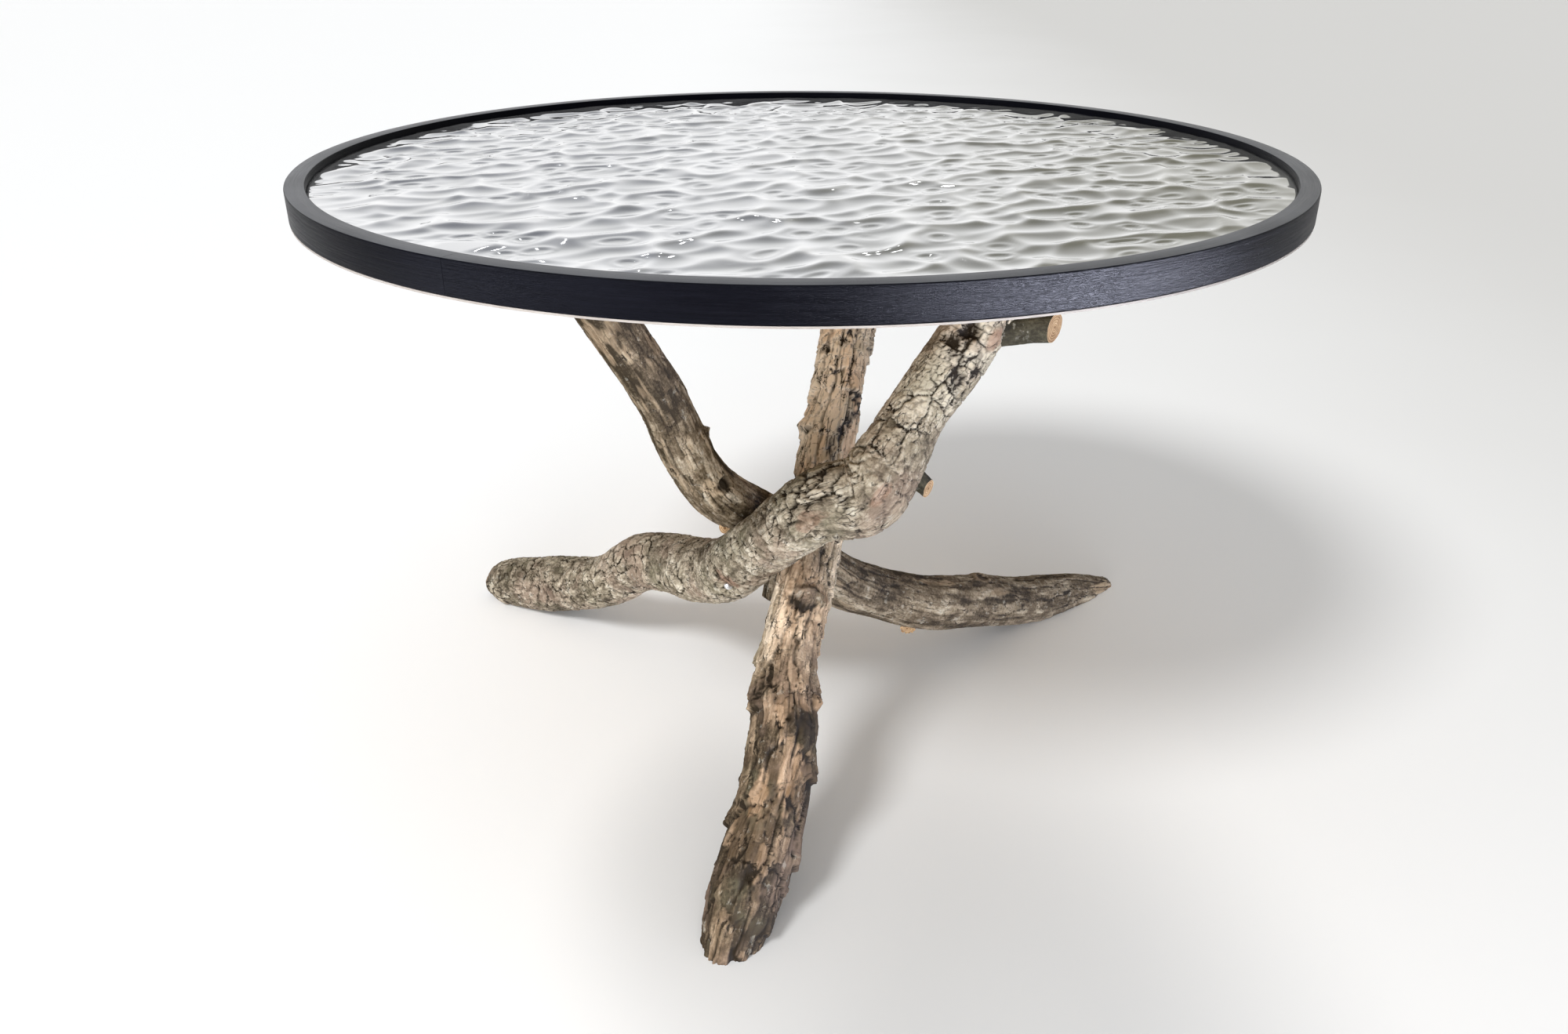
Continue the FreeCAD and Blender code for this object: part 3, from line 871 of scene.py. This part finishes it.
def bark_finish(name, body_stops, wood_stops, grain, mossy=False):
    """Bark whose colours follow the mesh; a low grain draws its streaks and hair cracks far out."""
    material, tree, surface = new_finish(name)
    place = tree.attribute("bark_place", "Vector")
    crack = tree.attribute("crack")
    tone = tree.attribute("tone")
    bare = tree.attribute("bare")
    mottle = tree.noise(place, MOTTLE_SCALE, 5.0, 0.6)
    speckle = tree.noise(place, SPECKLE_SCALE, 4.0, 0.7)
    drawn = tree.stretched(place, (1.0, 1.0, grain))
    streak = tree.noise(drawn, STREAK_SCALE, 5.0, 0.65)
    bent = tree.node("ShaderNodeMix", {"data_type": "VECTOR"}, {0: HAIR_BEND, 4: drawn, 5: mottle}, 1)
    net = tree.node("ShaderNodeTexVoronoi", {"feature": "DISTANCE_TO_EDGE"},
                    {"Vector": bent, "Scale": HAIR_SCALE})
    hair = (1 - net.between(0.0, 0.11)) * mottle.between(0.38, 0.62)
    # The tone carries painted light high on the front and left branches, so the colours made from it do too
    shade = tone * 0.55 + mottle * 0.95 + speckle * 0.75 + streak * 0.70 - 1.0
    colour = tree.ramp(shade, *body_stops)
    if mossy:
        damp = tree.noise(place, 22.0, 3.0)
        colour = tree.mix(damp.between(0.50, 0.70) * 0.4, colour, MOSS_GREEN)
        colour = tree.mix(damp.between(0.50, 0.36) * 0.35, colour, FLUSH_PINK)
    wood = tree.ramp(streak * 0.8 + mottle * 0.35 + speckle * 0.2 + tone * 0.22 - 0.26, *wood_stops)
    colour = tree.mix((bare * 1.5 + mottle * 0.7 - 0.55).clamped(), colour, wood)
    pale = tree.noise(place, 150.0, 3.0, 0.6).between(0.60, 0.70) * 0.35
    colour = tree.mix(pale * (1 - bare), colour, LICHEN_GREY)
    # Crack darkness also carries the painted shadows under the flakes, round the knot and round the hollow
    depth = (crack * 1.2 + hair * 0.75 - streak * 0.28).clamped()
    colour = tree.mix(depth, colour, CRACK_AND_PAINTED_SHADOW_BROWN)
    grit = speckle * 0.6 + streak * 0.7 - hair * 0.8
    tree.feed(surface, {
        "Base Color": colour,
        "Roughness": (0.78 + speckle * 0.22).clamped(),
        "Specular IOR Level": 0.04,
        "Normal": tree.bump(grit, 0.55, 0.8 * MM),
    })
    return material


left_bark = bark_finish("plated bark", LEFT_BODY, LEFT_WOOD, 0.5, mossy=True)
front_bark = bark_finish("flaky bark", FRONT_BODY, FRONT_WOOD, 0.16, mossy=True)
right_bark = bark_finish("weathered bark", RIGHT_BODY, RIGHT_WOOD, 0.12)
olive_bark = bark_finish("young olive bark", OLIVE_BODY, RIGHT_WOOD, 0.4)
print("bark finishes:", left_bark.name, "/", front_bark.name, "/", right_bark.name, "/", olive_bark.name)

# %% Cut wood finish
CUT_STOPS = [(0.15, (0.20, 0.105, 0.048)), (0.5, (0.50, 0.325, 0.175)), (0.85, (0.74, 0.57, 0.38))]
RINGS_PER_METRE = 600.0


def cut_wood_finish():
    """A sawn end: growth rings round the middle, fine rays and saw marks."""
    material, tree, surface = new_finish("cut wood")
    place = tree.attribute("bark_place", "Vector")
    wobble = tree.noise(place, 160.0, 3.0)
    radius = tree.length(tree.stretched(place, (1.0, 1.0, 0.0)))
    rings = radius.math("SINE", radius * (FULL_TURN * RINGS_PER_METRE) + wobble * 5)
    pith = 1 - radius.between(0.5 * MM, 1.8 * MM)
    fibres = tree.noise(place, 900.0, 4.0, 0.7)
    shade = rings * 0.16 + wobble * 0.8 + fibres * 0.5 - pith * 0.35 - 0.15
    tree.feed(surface, {
        "Base Color": tree.ramp(shade, *CUT_STOPS),
        "Roughness": 0.62 + fibres * 0.25,
        "Specular IOR Level": 0.05,
        "Normal": tree.bump(fibres + rings * 0.3, 0.4, 0.5 * MM),
    })
    return material


cut_wood = cut_wood_finish()
print("cut ends show", RINGS_PER_METRE * MM, "rings per millimetre")

# %% [markdown]
# ## The three branches
# Each branch is rolled with its own kind of bark. Its knots, scars and bare spots are listed: how
# far along in metres, where round it in degrees, its width and length in millimetres, the rise of its
# collar and the dip of its middle, and how dark and how bare it is. The front branch also has loose
# flakes, each listed by its place, width, length and how far its lower end stands off.

# %% Branches
LEFT_MARKS = [
    (0.384, 114, 13, 14, 0.0, 0.0, 0.0, 0.60),
    (0.671, 78, 12, 12, 4.5, 8.0, 0.82, 0.0),
    (0.657, 58, 13, 7, 2.5, 3.0, 0.68, 0.0),
    (0.638, 109, 9, 9, 3.0, 3.5, 0.66, 0.0),
    (0.660, 95, 8, 9, 5.5, 0.0, -0.2, 0.0),
    # A wide dark patch round the hollow, painted shade
    (0.655, 86, 24, 22, 1.0, 1.0, 0.60, 0.0),
    (0.673, 125, 7, 12, 2.5, 0.0, -0.3, 0.7),
    (0.648, 128, 7, 8, 3.0, 2.0, 0.6, 0.3),
    (0.690, 104, 8, 9, 3.0, 2.0, 0.8, 0.0),
    (0.527, 27, 20, 22, 2.5, 0.0, 0.45, 0.0),
    (0.548, 101, 6, 9, 0.0, 0.6, 0.0, 0.55),
    (0.507, 101, 9, 13, 0.0, 0.5, 0.0, 0.5),
    (0.354, 18, 10, 14, 0.0, 0.0, 0.4, 0.0),
]
FRONT_MARKS = [
    # The dark ring in the dip round the knot is painted shadow
    (0.265, 22, 18, 14, 1.5, 5.0, 0.95, 0.0),
    (0.270, 28, 14, 11, 9.5, 0.0, -0.95, -0.8),
    (0.403, 80, 9, 24, -1.0, 0.0, -0.8, 1.0),
    (0.433, 72, 7, 16, 0.3, 1.0, 0.75, -0.3),
    (0.421, 57, 7, 17, 0.3, 1.0, 0.75, -0.3),
    (0.408, 41, 7, 17, 0.3, 1.0, 0.75, -0.3),
    (0.395, 26, 6, 16, 0.3, 1.0, 0.65, -0.3),
    (0.413, -54, 7, 8, 4.0, 0.0, 0.6, 0.0),
    (0.498, 29, 9, 9, 0.5, 1.0, 0.65, -0.4),
    (0.488, 3, 10, 8, 0.5, 1.0, 0.65, -0.4),
    (0.480, -24, 10, 8, 0.5, 1.0, 0.60, -0.4),
    (0.468, -55, 12, 26, 0.0, 0.0, 0.15, -0.6),
    (0.190, -31, 11, 13, 1.5, 1.0, 0.75, 0.0),
    (0.167, 50, 16, 15, 3.0, 0.0, 0.70, -0.6),
    (0.187, 78, 5, 7, 6.0, 0.0, 0.0, 1.0),
    (0.182, 50, 6, 7, 0.0, 0.8, 0.0, 1.0),
    (0.437, 80, 5, 12, 3.5, 0.0, 0.0, 0.9),
    (0.135, 38, 8, 24, 0.0, 0.8, -0.5, 0.9),
    (0.118, -8, 8, 17, 0.0, 0.8, -0.5, 0.8),
    (0.175, -5, 8, 14, 0.0, 0.0, -0.5, 0.35),
]
FRONT_FLAKES = [
    (0.150, 97, 6, 12, 5.0), (0.205, 102, 6, 11, 5.0), (0.232, -95, 7, 13, 4.5), (0.095, 94, 6, 13, 5.0),
    (0.345, 92, 7, 14, 4.0), (0.440, -92, 7, 12, 4.5), (0.060, -98, 6, 12, 4.5), (0.420, -35, 7, 11, 4.5),
    (0.150, 82, 8, 14, 4.5), (0.111, -80, 7, 14, 7.0), (0.165, 55, 12, 13, 3.5), (0.192, -45, 12, 13, 3.5),
    (0.085, 20, 13, 15, 3.0), (0.048, 75, 8, 12, 4.0), (0.455, 60, 9, 9, 3.5), (0.128, -30, 11, 15, 3.0),
]
RIGHT_MARKS = [
    (0.516, -66, 10, 11, 3.0, 5.0, 1.0, 0.0),
    (0.520, -98, 7, 10, 0.0, 0.0, 0.0, 0.9),
    (0.545, -155, 6, 6, 3.0, 2.0, 0.5, 0.5),
    (0.582, -118, 6, 6, 1.5, 1.5, 0.7, 0.3),
    (0.668, -152, 6, 26, -0.4, 0.0, -0.4, 0.75),
    (0.198, -8, 9, 12, 5.5, 3.5, 0.7, 0.6),
    (0.470, -60, 26, 18, 0.0, 0.0, 0.7, -0.4),
    (0.185, -45, 4, 18, 0.0, 0.5, 0.0, 0.5),
    (0.258, -20, 4, 30, 0.0, 0.4, 0.0, 0.7),
    (0.558, -18, 3, 4, 3.5, 0.0, 0.4, 0.0),
    (0.012, -70, 12, 26, 0.0, 0.0, 0.0, 1.0),
]
LEFT_TIP = 24 * MM
LEFT_SCREW = ((-54.4 * MM, -81.0 * MM, 137.1 * MM), (0.390, 0.740, 0.547))

branch("left_branch_bark", left_route, plated_bark, LEFT_MARKS, (left_bark, cut_wood),
       "left_branch", tip=LEFT_TIP, screw=LEFT_SCREW)
branch("front_branch_bark", front_route, flaky_bark, FRONT_MARKS, (front_bark, cut_wood),
       "front_branch", flakes=FRONT_FLAKES)
branch("right_branch_bark", right_route, weathered_bark, RIGHT_MARKS, (right_bark, cut_wood),
       "right_branch")

# %% [markdown]
# ## Cut twigs
# Where side shoots were sawn off, a short stub is left: it flares out of the branch and ends in a flat
# sawn face, seldom square to the twig. The same roll of bark makes it, along a route of four places, and a
# planar cut gives the face. Each is listed by how far up its branch it grows, which way it points, which
# way its sawn face looks, and its diameter and reach in millimetres.

# %% Stubs
STUB_AROUND = 56
STUB_ALONG = 60
# Shares of the reach, the last one past the cut, with the thickness there as a share of the diameter
STUB_WIDTHS = [(0.0, 1.25), (0.35, 1.12), (0.62, 1.0), (1.25, 0.88)]
TWIG = (twig_bark, olive_bark)
WORN = (weathered_bark, right_bark)
LEFT = (left_route, "left_bark")
RIGHT = (right_route, "right_bark")
STUBS = {
    "left_top_stub": (LEFT, TWIG, 0.90, (0.97, -0.15, 0.08), (0.80, -0.60, 0.0), 21, 53),
    "left_elbow_stub": (LEFT, TWIG, 0.75, (0.72, -0.10, -0.70), (0.80, -0.55, -0.25), 14, 35),
    "right_top_stub": (RIGHT, WORN, 0.93, (-0.95, -0.10, 0.05), (-0.9, -0.4, 0.0), 20, 45),
    "right_twig": (RIGHT, TWIG, 0.57, (-0.70, -0.69, 0.18), (-0.40, -0.9, 0.15), 9.5, 41),
    "right_crossing_stub": (RIGHT, WORN, 0.53, (-0.17, 0.16, -0.97), (-0.3, -0.3, -0.9), 25, 62),
    "right_under_stub": (RIGHT, WORN, 0.29, (-0.45, -0.50, -0.70), (-0.3, -0.9, -0.3), 13, 27),
}


def stub_shape(places, bark, spot_share, direction, face, diameter, reach):
    """A sawn twig that starts inside the branch, flares at its root and ends in a slanted cut."""
    spot = spot_share * (len(places) - 1)
    below = int(spot)
    root = places[below].lerp(places[below + 1], spot - below).xyz
    along = Vector(direction).normalized() * reach
    stations = [Vector((*(root + along * share), width * diameter / 2)) for share, width in STUB_WIDTHS]
    shape = roll_bark(stations, bark, around=STUB_AROUND, along_steps=STUB_ALONG)
    cut_off(shape, root + along, Vector(face).normalized())
    close_ends(shape)
    return shape


for name, ((places, slot), (bark, finish), share, direction, face, diameter, reach) in STUBS.items():
    shape = stub_shape(places, bark, share, direction, face, diameter * MM, reach * MM)
    table_piece(name, shape, (finish, cut_wood))
print("sawn twigs:", len(STUBS))

# %% [markdown]
# ## The rim
# The rim is three lengths of dark lacquered wood, bent to a circle and joined end to end. A spun section
# is the natural way: a small face with eased corners is turned through each length, and its caps close the
# ends. An attribute unrolls the rim, so that the brush streaks run round it. Its upper face is paler,
# partly from wear and partly a painted sheen, under a thin coat, so the finish asks which way a face looks.

# %% Rim finish
# The paler upper face is partly wear and partly a painted sheen
RIM_TOP_WEAR_AND_SHEEN = (0.125, 0.129, 0.140)
RIM_STOPS = [(0.25, (0.0012, 0.0013, 0.0025)), (0.55, (0.0028, 0.0030, 0.0055)),
             (0.85, (0.0085, 0.0093, 0.015))]
RIM_FACES_UP = (0.80, 0.97)


def rim_finish():
    """Brushed dark lacquer, paler where it faces up: partly wear, partly a painted sheen."""
    material, tree, surface = new_finish("dark brushed lacquer")
    place = tree.attribute("rim_place", "Vector")
    streak = tree.noise(tree.stretched(place, (0.03, 1.0, 1.0)), 750.0, 5.0, 0.75)
    cloud = tree.noise(place, 14.0, 3.0)
    fleck = tree.noise(place, 900.0, 2.0, 0.5)
    shade = streak * 0.75 + cloud * 0.3 + fleck * 0.1 - 0.08
    up = tree.split(tree.node("ShaderNodeNewGeometry", {}, {}, "Normal"))[2].between(*RIM_FACES_UP)
    tree.feed(surface, {
        "Base Color": tree.mix(up * (0.35 + cloud), tree.ramp(shade, *RIM_STOPS), RIM_TOP_WEAR_AND_SHEEN),
        "Roughness": (0.16 + streak * 0.40).clamped(),
        "Specular IOR Level": 0.035,
        "Coat Weight": up * 0.3,
        "Coat Roughness": 0.3,
        "Normal": tree.bump(streak, 0.6, 0.8 * MM),
    })
    return material


rim_lacquer = rim_finish()
print("rim finish:", rim_lacquer.name)

# %% Rim lengths
RIM_LENGTHS = 3
RIM_EASE = 0.9 * MM
RIM_EASE_STEPS = 3
RIM_GAP = 0.2 * MM
RIM_STEPS = 120
RIM_OUTER = cad_box[1].x
RIM_TOP = cad_box[1].z
RIM_WIDTH = 13 * MM
RIM_HEIGHT = 20 * MM
RIM_MIDLINE = RIM_OUTER - RIM_WIDTH / 2
RIM_SHARP = math.radians(50)
FIRST_JOINT = math.radians(-1.0)
UNROLL_LEAD = 0.1


def rim_length(start, sweep):
    """One bent length, a spun section with eased corners."""
    shape = bmesh.new()
    bmesh.ops.create_grid(shape, x_segments=1, y_segments=1, size=0.5)
    bmesh.ops.scale(shape, verts=shape.verts, vec=(RIM_WIDTH, RIM_HEIGHT, 1))
    bmesh.ops.rotate(shape, verts=shape.verts, matrix=Matrix.Rotation(math.pi / 2, 3, "X"))
    bmesh.ops.translate(shape, verts=shape.verts, vec=(RIM_MIDLINE, 0, RIM_TOP - RIM_HEIGHT / 2))
    bmesh.ops.bevel(shape, geom=list(shape.verts), offset=RIM_EASE, affect="VERTICES",
                    segments=RIM_EASE_STEPS, profile=0.5, material=-1)
    bmesh.ops.rotate(shape, verts=shape.verts, matrix=Matrix.Rotation(start, 3, "Z"))
    section = list(shape.verts) + list(shape.edges) + list(shape.faces)
    bmesh.ops.spin(shape, geom=section, cent=(0, 0, 0), axis=(0, 0, 1), angle=sweep, steps=RIM_STEPS)
    bmesh.ops.recalc_face_normals(shape, faces=shape.faces)
    layer = shape.verts.layers.float_vector.new("rim_place")
    for vert in shape.verts:
        turn = (math.atan2(vert.co.y, vert.co.x) - start + UNROLL_LEAD) % FULL_TURN
        vert[layer] = Vector((turn * RIM_MIDLINE, vert.co.xy.length, vert.co.z))
    for face in shape.faces:
        face.smooth = len(face.verts) == 4
    for edge in shape.edges:
        edge.smooth = edge.calc_face_angle(0.0) < RIM_SHARP
    return shape


gap_turn = RIM_GAP / RIM_MIDLINE
for number in range(RIM_LENGTHS):
    start = FIRST_JOINT + FULL_TURN * number / RIM_LENGTHS + gap_turn / 2
    shape = rim_length(start, FULL_TURN / RIM_LENGTHS - gap_turn)
    table_piece(f"rim_length_{number + 1}", shape, (rim_lacquer,), f"rim_segment_{number + 1}")

# %% [markdown]
# ## The rippled panel
# Inside the rim lies a silvery panel whose surface looks like still water caught by wind. A texture could
# fake it, but its whole charm is how it bends reflections, so the ripples are shape. A square grid is drawn
# into a disc, each vertex is lifted by the ripple, and the edge is pulled down to give the sheet its body.

# %% Ripple shape
PANEL_LOW, PANEL_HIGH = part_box("ripple_panel")
PANEL_RADIUS = PANEL_HIGH.x
PANEL_SEGMENTS = 300
RIPPLE_TURN = math.radians(35)
RIPPLE_LONG = 30 * MM
RIPPLE_SHORT = 22 * MM
RIPPLE_DEPTH = 2.8 * MM
RIPPLE_BEND = 0.45
BEND_WAVES = (23, 30)
SWELL_SCALE = 0.45
SMALL_SCALE = 2.1
RING_RADIUS = 0.27
RING_WIDTH = 0.075
RIDGE_SOFTNESS = 11.0
CALM_EDGE = 30 * MM
CALM_SHARE = 0.30
EDGE_LEVEL = 0.42
# Unless it is set, the seed of vector noise is the time of day
RIPPLE_SEED = 5
noise.seed_set(RIPPLE_SEED)


def bowls(along, across, softness, seed):
    """Shallow bowls that meet in ridges: their height, and the nearest one's distance and number."""
    near, closest, number = 0 * along, 0 * along + FAR_OFF, 0 * along
    for step_along in (-2, -1, 0, 1, 2):
        for step_across in (-2, -1, 0, 1, 2):
            column, row = np.floor(along) + step_along, np.floor(across) + step_across
            off = (column + in_cell(column, row, seed) - along) ** 2
            off = off + (row + in_cell(column, row, seed + 1.0) - across) ** 2
            near = near + np.exp(-softness * off)
            number = np.where(off < closest, scatter(column, row, seed + 2.0), number)
            closest = np.minimum(off, closest)
    return -np.log(near) / softness, np.sqrt(closest), number


def ripple(x, y):
    """Height of the ripple: bowls drawn out one way, rings in some of them, chop and a wide swell."""
    flow_x = x * math.cos(RIPPLE_TURN) + y * math.sin(RIPPLE_TURN)
    flow_y = y * math.cos(RIPPLE_TURN) - x * math.sin(RIPPLE_TURN)
    spots = np.stack((flow_x * BEND_WAVES[0], flow_y * BEND_WAVES[1], 0 * x), axis=1)
    bend = np.array([noise.noise_vector(spot) for spot in spots.tolist()])
    swell = np.array([noise.noise(spot) for spot in (spots * SWELL_SCALE + 7.0).tolist()])
    along = flow_x / RIPPLE_LONG + RIPPLE_BEND * bend[:, 0]
    across = flow_y / RIPPLE_SHORT + RIPPLE_BEND * bend[:, 1]
    wide, off, number = bowls(along, across, RIDGE_SOFTNESS, 1.0)
    small_along, small_across = along * SMALL_SCALE + 0.3, across * SMALL_SCALE + 0.3 * bend[:, 2]
    small, _, _ = bowls(small_along, small_across, RIDGE_SOFTNESS, 5.0)
    ring = np.exp(-((off - RING_RADIUS) / RING_WIDTH) ** 2) * smooth(0.55, 0.65, number)
    chop = smooth(0.0, 0.4, swell + 0.4 * bend[:, 2])
    height = np.minimum(wide, 0.55) + 0.12 * ring + 0.09 * chop * np.minimum(small, 0.5) + 0.14 * swell
    calm = smooth(0.0, CALM_EDGE, PANEL_RADIUS - np.hypot(x, y))
    return EDGE_LEVEL + (height - EDGE_LEVEL) * (CALM_SHARE + (1 - CALM_SHARE) * calm)


def panel_shape():
    shape = bmesh.new()
    bmesh.ops.create_grid(shape, x_segments=PANEL_SEGMENTS, y_segments=PANEL_SEGMENTS, size=1.0)
    square = np.array([vert.co for vert in shape.verts])
    x = square[:, 0] * np.sqrt(1 - square[:, 1] ** 2 / 2) * PANEL_RADIUS
    y = square[:, 1] * np.sqrt(1 - square[:, 0] ** 2 / 2) * PANEL_RADIUS
    height = ripple(x, y)
    height = (height - height.min()) / (height.max() - height.min())
    layer = shape.verts.layers.float.new("ridge")
    for row, vert in enumerate(shape.verts):
        vert[layer] = height[row]
        vert.co = (x[row], y[row], PANEL_HIGH.z + (height[row] - 1) * RIPPLE_DEPTH)
    rim_edges = [edge for edge in shape.edges if edge.is_boundary]
    for face in shape.faces:
        face.smooth = True
    pulled = bmesh.ops.extrude_edge_only(shape, edges=rim_edges)["geom"]
    for vert in [item for item in pulled if isinstance(item, bmesh.types.BMVert)]:
        vert.co.z = PANEL_LOW.z
    under = [edge for edge in shape.edges if edge.is_boundary]
    bmesh.ops.edgeloop_fill(shape, edges=under)
    bmesh.ops.recalc_face_normals(shape, faces=shape.faces)
    split_large(shape)
    return shape


print("the panel is", round(2 * PANEL_RADIUS, 3), "m across, with ripples", RIPPLE_DEPTH, "m deep")

# %% Ripple finish
# Painted light: by ripple height the silver is paler on the ridges and greyer in the hollows
RIPPLE_PAINTED_LIGHT_STOPS = [(0.10, (0.66, 0.67, 0.68)), (0.40, (0.82, 0.83, 0.85)), (0.70, (0.96, 0.965, 0.975))]
RIPPLE_WARM = (0.62, 0.61, 0.53)


def ripple_finish():
    """Silver with a painted highlight on its ridges and painted shade in its hollows, a little warm to the
    right.
    """
    material, tree, surface = new_finish("rippled silver")
    place = tree.own_place()
    ridge = tree.attribute("ridge")
    cloud = tree.noise(place, 9.0, 4.0, 0.6)
    grain = tree.noise(place, 420.0, 3.0)
    # Painted highlight on the ridges and painted shade in the hollows
    silver = tree.ramp(ridge + cloud * 0.2 - 0.10, *RIPPLE_PAINTED_LIGHT_STOPS)
    warmth = (tree.split(place)[0] * 2.2 + cloud * 0.7 - 0.30).clamped()
    tree.feed(surface, {
        "Base Color": tree.mix(warmth * 0.7, silver, RIPPLE_WARM),
        "Metallic": 0.9,
        "Roughness": (0.03 + grain * 0.07).clamped(),
    })
    return material


table_piece("rippled_panel", panel_shape(), (ripple_finish(),), "ripple_panel")

# %% [markdown]
# ## What holds the table together
# The plywood base, the dowels in the rim joints and the screws are plain machined pieces, so the packed
# solids stay and only get their finishes: veneer with long grain, pale turned beech and zinc-bright steel.

# %% Plywood, dowel and steel finishes
PLY_STOPS = [(0.25, (0.38, 0.25, 0.135)), (0.5, (0.53, 0.38, 0.22)), (0.8, (0.66, 0.52, 0.34))]
BARE_STOPS = [(0.25, (0.30, 0.265, 0.24)), (0.5, (0.40, 0.365, 0.34)), (0.8, (0.50, 0.475, 0.45))]
BEECH_STOPS = [(0.25, (0.48, 0.32, 0.19)), (0.5, (0.60, 0.43, 0.27)), (0.8, (0.70, 0.54, 0.37))]
STEEL_STOPS = [(0.3, (0.62, 0.61, 0.58)), (0.7, (0.86, 0.86, 0.85))]


def veneer_finish(name, stops, grain_scale, ring_scale):
    """Flat-sawn wood: long wavering grain along X with fine pores."""
    material, tree, surface = new_finish(name)
    place = tree.own_place()
    long_grain = tree.noise(tree.stretched(place, (0.08, 1.0, 1.0)), grain_scale, 5.0, 0.6)
    figure = tree.noise(tree.stretched(place, (0.22, 1.0, 1.0)), ring_scale, 3.0)
    pores = tree.noise(tree.stretched(place, (0.05, 1.0, 1.0)), grain_scale * 4, 3.0, 0.7)
    tree.feed(surface, {
        "Base Color": tree.ramp(long_grain * 0.5 + figure * 0.5 + pores * 0.25 - 0.12, *stops),
        "Roughness": 0.5 + pores * 0.3,
        "Specular IOR Level": 0.05,
        "Normal": tree.bump(pores, 0.3, 0.3 * MM),
    })
    return material


def steel_finish():
    """Bright screw steel with fine turning marks and duller patches."""
    material, tree, surface = new_finish("bright steel")
    place = tree.own_place()
    marks = tree.noise(place, 2600.0, 3.0, 0.6)
    dull = tree.noise(place, 350.0, 3.0)
    tree.feed(surface, {
        "Base Color": tree.ramp(dull, *STEEL_STOPS),
        "Metallic": 1.0,
        "Roughness": 0.18 + marks * 0.25,
        "Normal": tree.bump(marks, 0.15, 0.05 * MM),
    })
    return material


plywood = veneer_finish("plywood veneer", PLY_STOPS, 260.0, 26.0)
beech = veneer_finish("turned beech", BEECH_STOPS, 700.0, 120.0)
bare_edge_wood = veneer_finish("bare rim edge", BARE_STOPS, 500.0, 60.0)
steel = steel_finish()
dressed = 0
for name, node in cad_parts.items():
    for word, finish in (("base_panel", plywood), ("dowel", beech), ("screw", steel)):
        if word in name:
            node.data.materials.clear()
            node.data.materials.append(finish)
            dressed += 1
print("packed pieces that got a finish:", dressed)

# %% [markdown]
# ## Two small bright pieces
# Under the dark rim runs a thin pale line, the edge of the rim's bare backing strip: a small section spun
# all the way round. The one screw that shows has a raised head, which catches light from every side where a
# flat one would vanish edge-on: half its outline, spun about its own axis and then turned to the screw.

# %% Backing strip and screw head
STRIP_DEPTH = 1.2 * MM
STRIP_INSET = 0.3 * MM
STRIP_STEPS = 240
HEAD_OUTLINE = [(0.0, 1.3), (1.2, 1.3), (1.5, 2.4), (2.5, 2.0), (3.2, 1.3), (3.5, 0.4), (3.5, -0.6),
                (0.0, -0.6)]
HEAD_STEPS = 32
SPUN_SHARP = math.radians(35)


def spun(outline, steps):
    """A closed solid of revolution about Z from an outline of radii and heights in metres."""
    shape = bmesh.new()
    corners = [shape.verts.new((radius, 0, height)) for radius, height in outline]
    edges = [shape.edges.new(pair) for pair in zip(corners, corners[1:])]
    bmesh.ops.spin(shape, geom=corners + edges, cent=(0, 0, 0), axis=(0, 0, 1), angle=FULL_TURN,
                   steps=steps, use_merge=True)
    bmesh.ops.remove_doubles(shape, verts=shape.verts, dist=WELD)
    bmesh.ops.recalc_face_normals(shape, faces=shape.faces)
    for edge in shape.edges:
        edge.smooth = edge.calc_face_angle(0.0) < SPUN_SHARP
    for face in shape.faces:
        face.smooth = True
    return shape


strip_out, strip_in = RIM_OUTER - STRIP_INSET, RIM_OUTER - RIM_WIDTH
strip_top, strip_low = RIM_TOP - RIM_HEIGHT, RIM_TOP - RIM_HEIGHT - STRIP_DEPTH
strip_outline = [(strip_in, strip_top), (strip_out, strip_top), (strip_out, strip_low),
                 (strip_in, strip_low), (strip_in, strip_top)]
table_piece("rim_backing_strip", spun(strip_outline, STRIP_STEPS), (bare_edge_wood,))

head_shape = spun([(radius * MM, height * MM) for radius, height in HEAD_OUTLINE], HEAD_STEPS)
head_turn = (-Vector(LEFT_SCREW[1])).to_track_quat("Z", "Y").to_matrix()
bmesh.ops.rotate(head_shape, verts=head_shape.verts, matrix=head_turn)
bmesh.ops.translate(head_shape, verts=head_shape.verts, vec=LEFT_SCREW[0])
table_piece("crossing_screw_head", head_shape, (steel,))
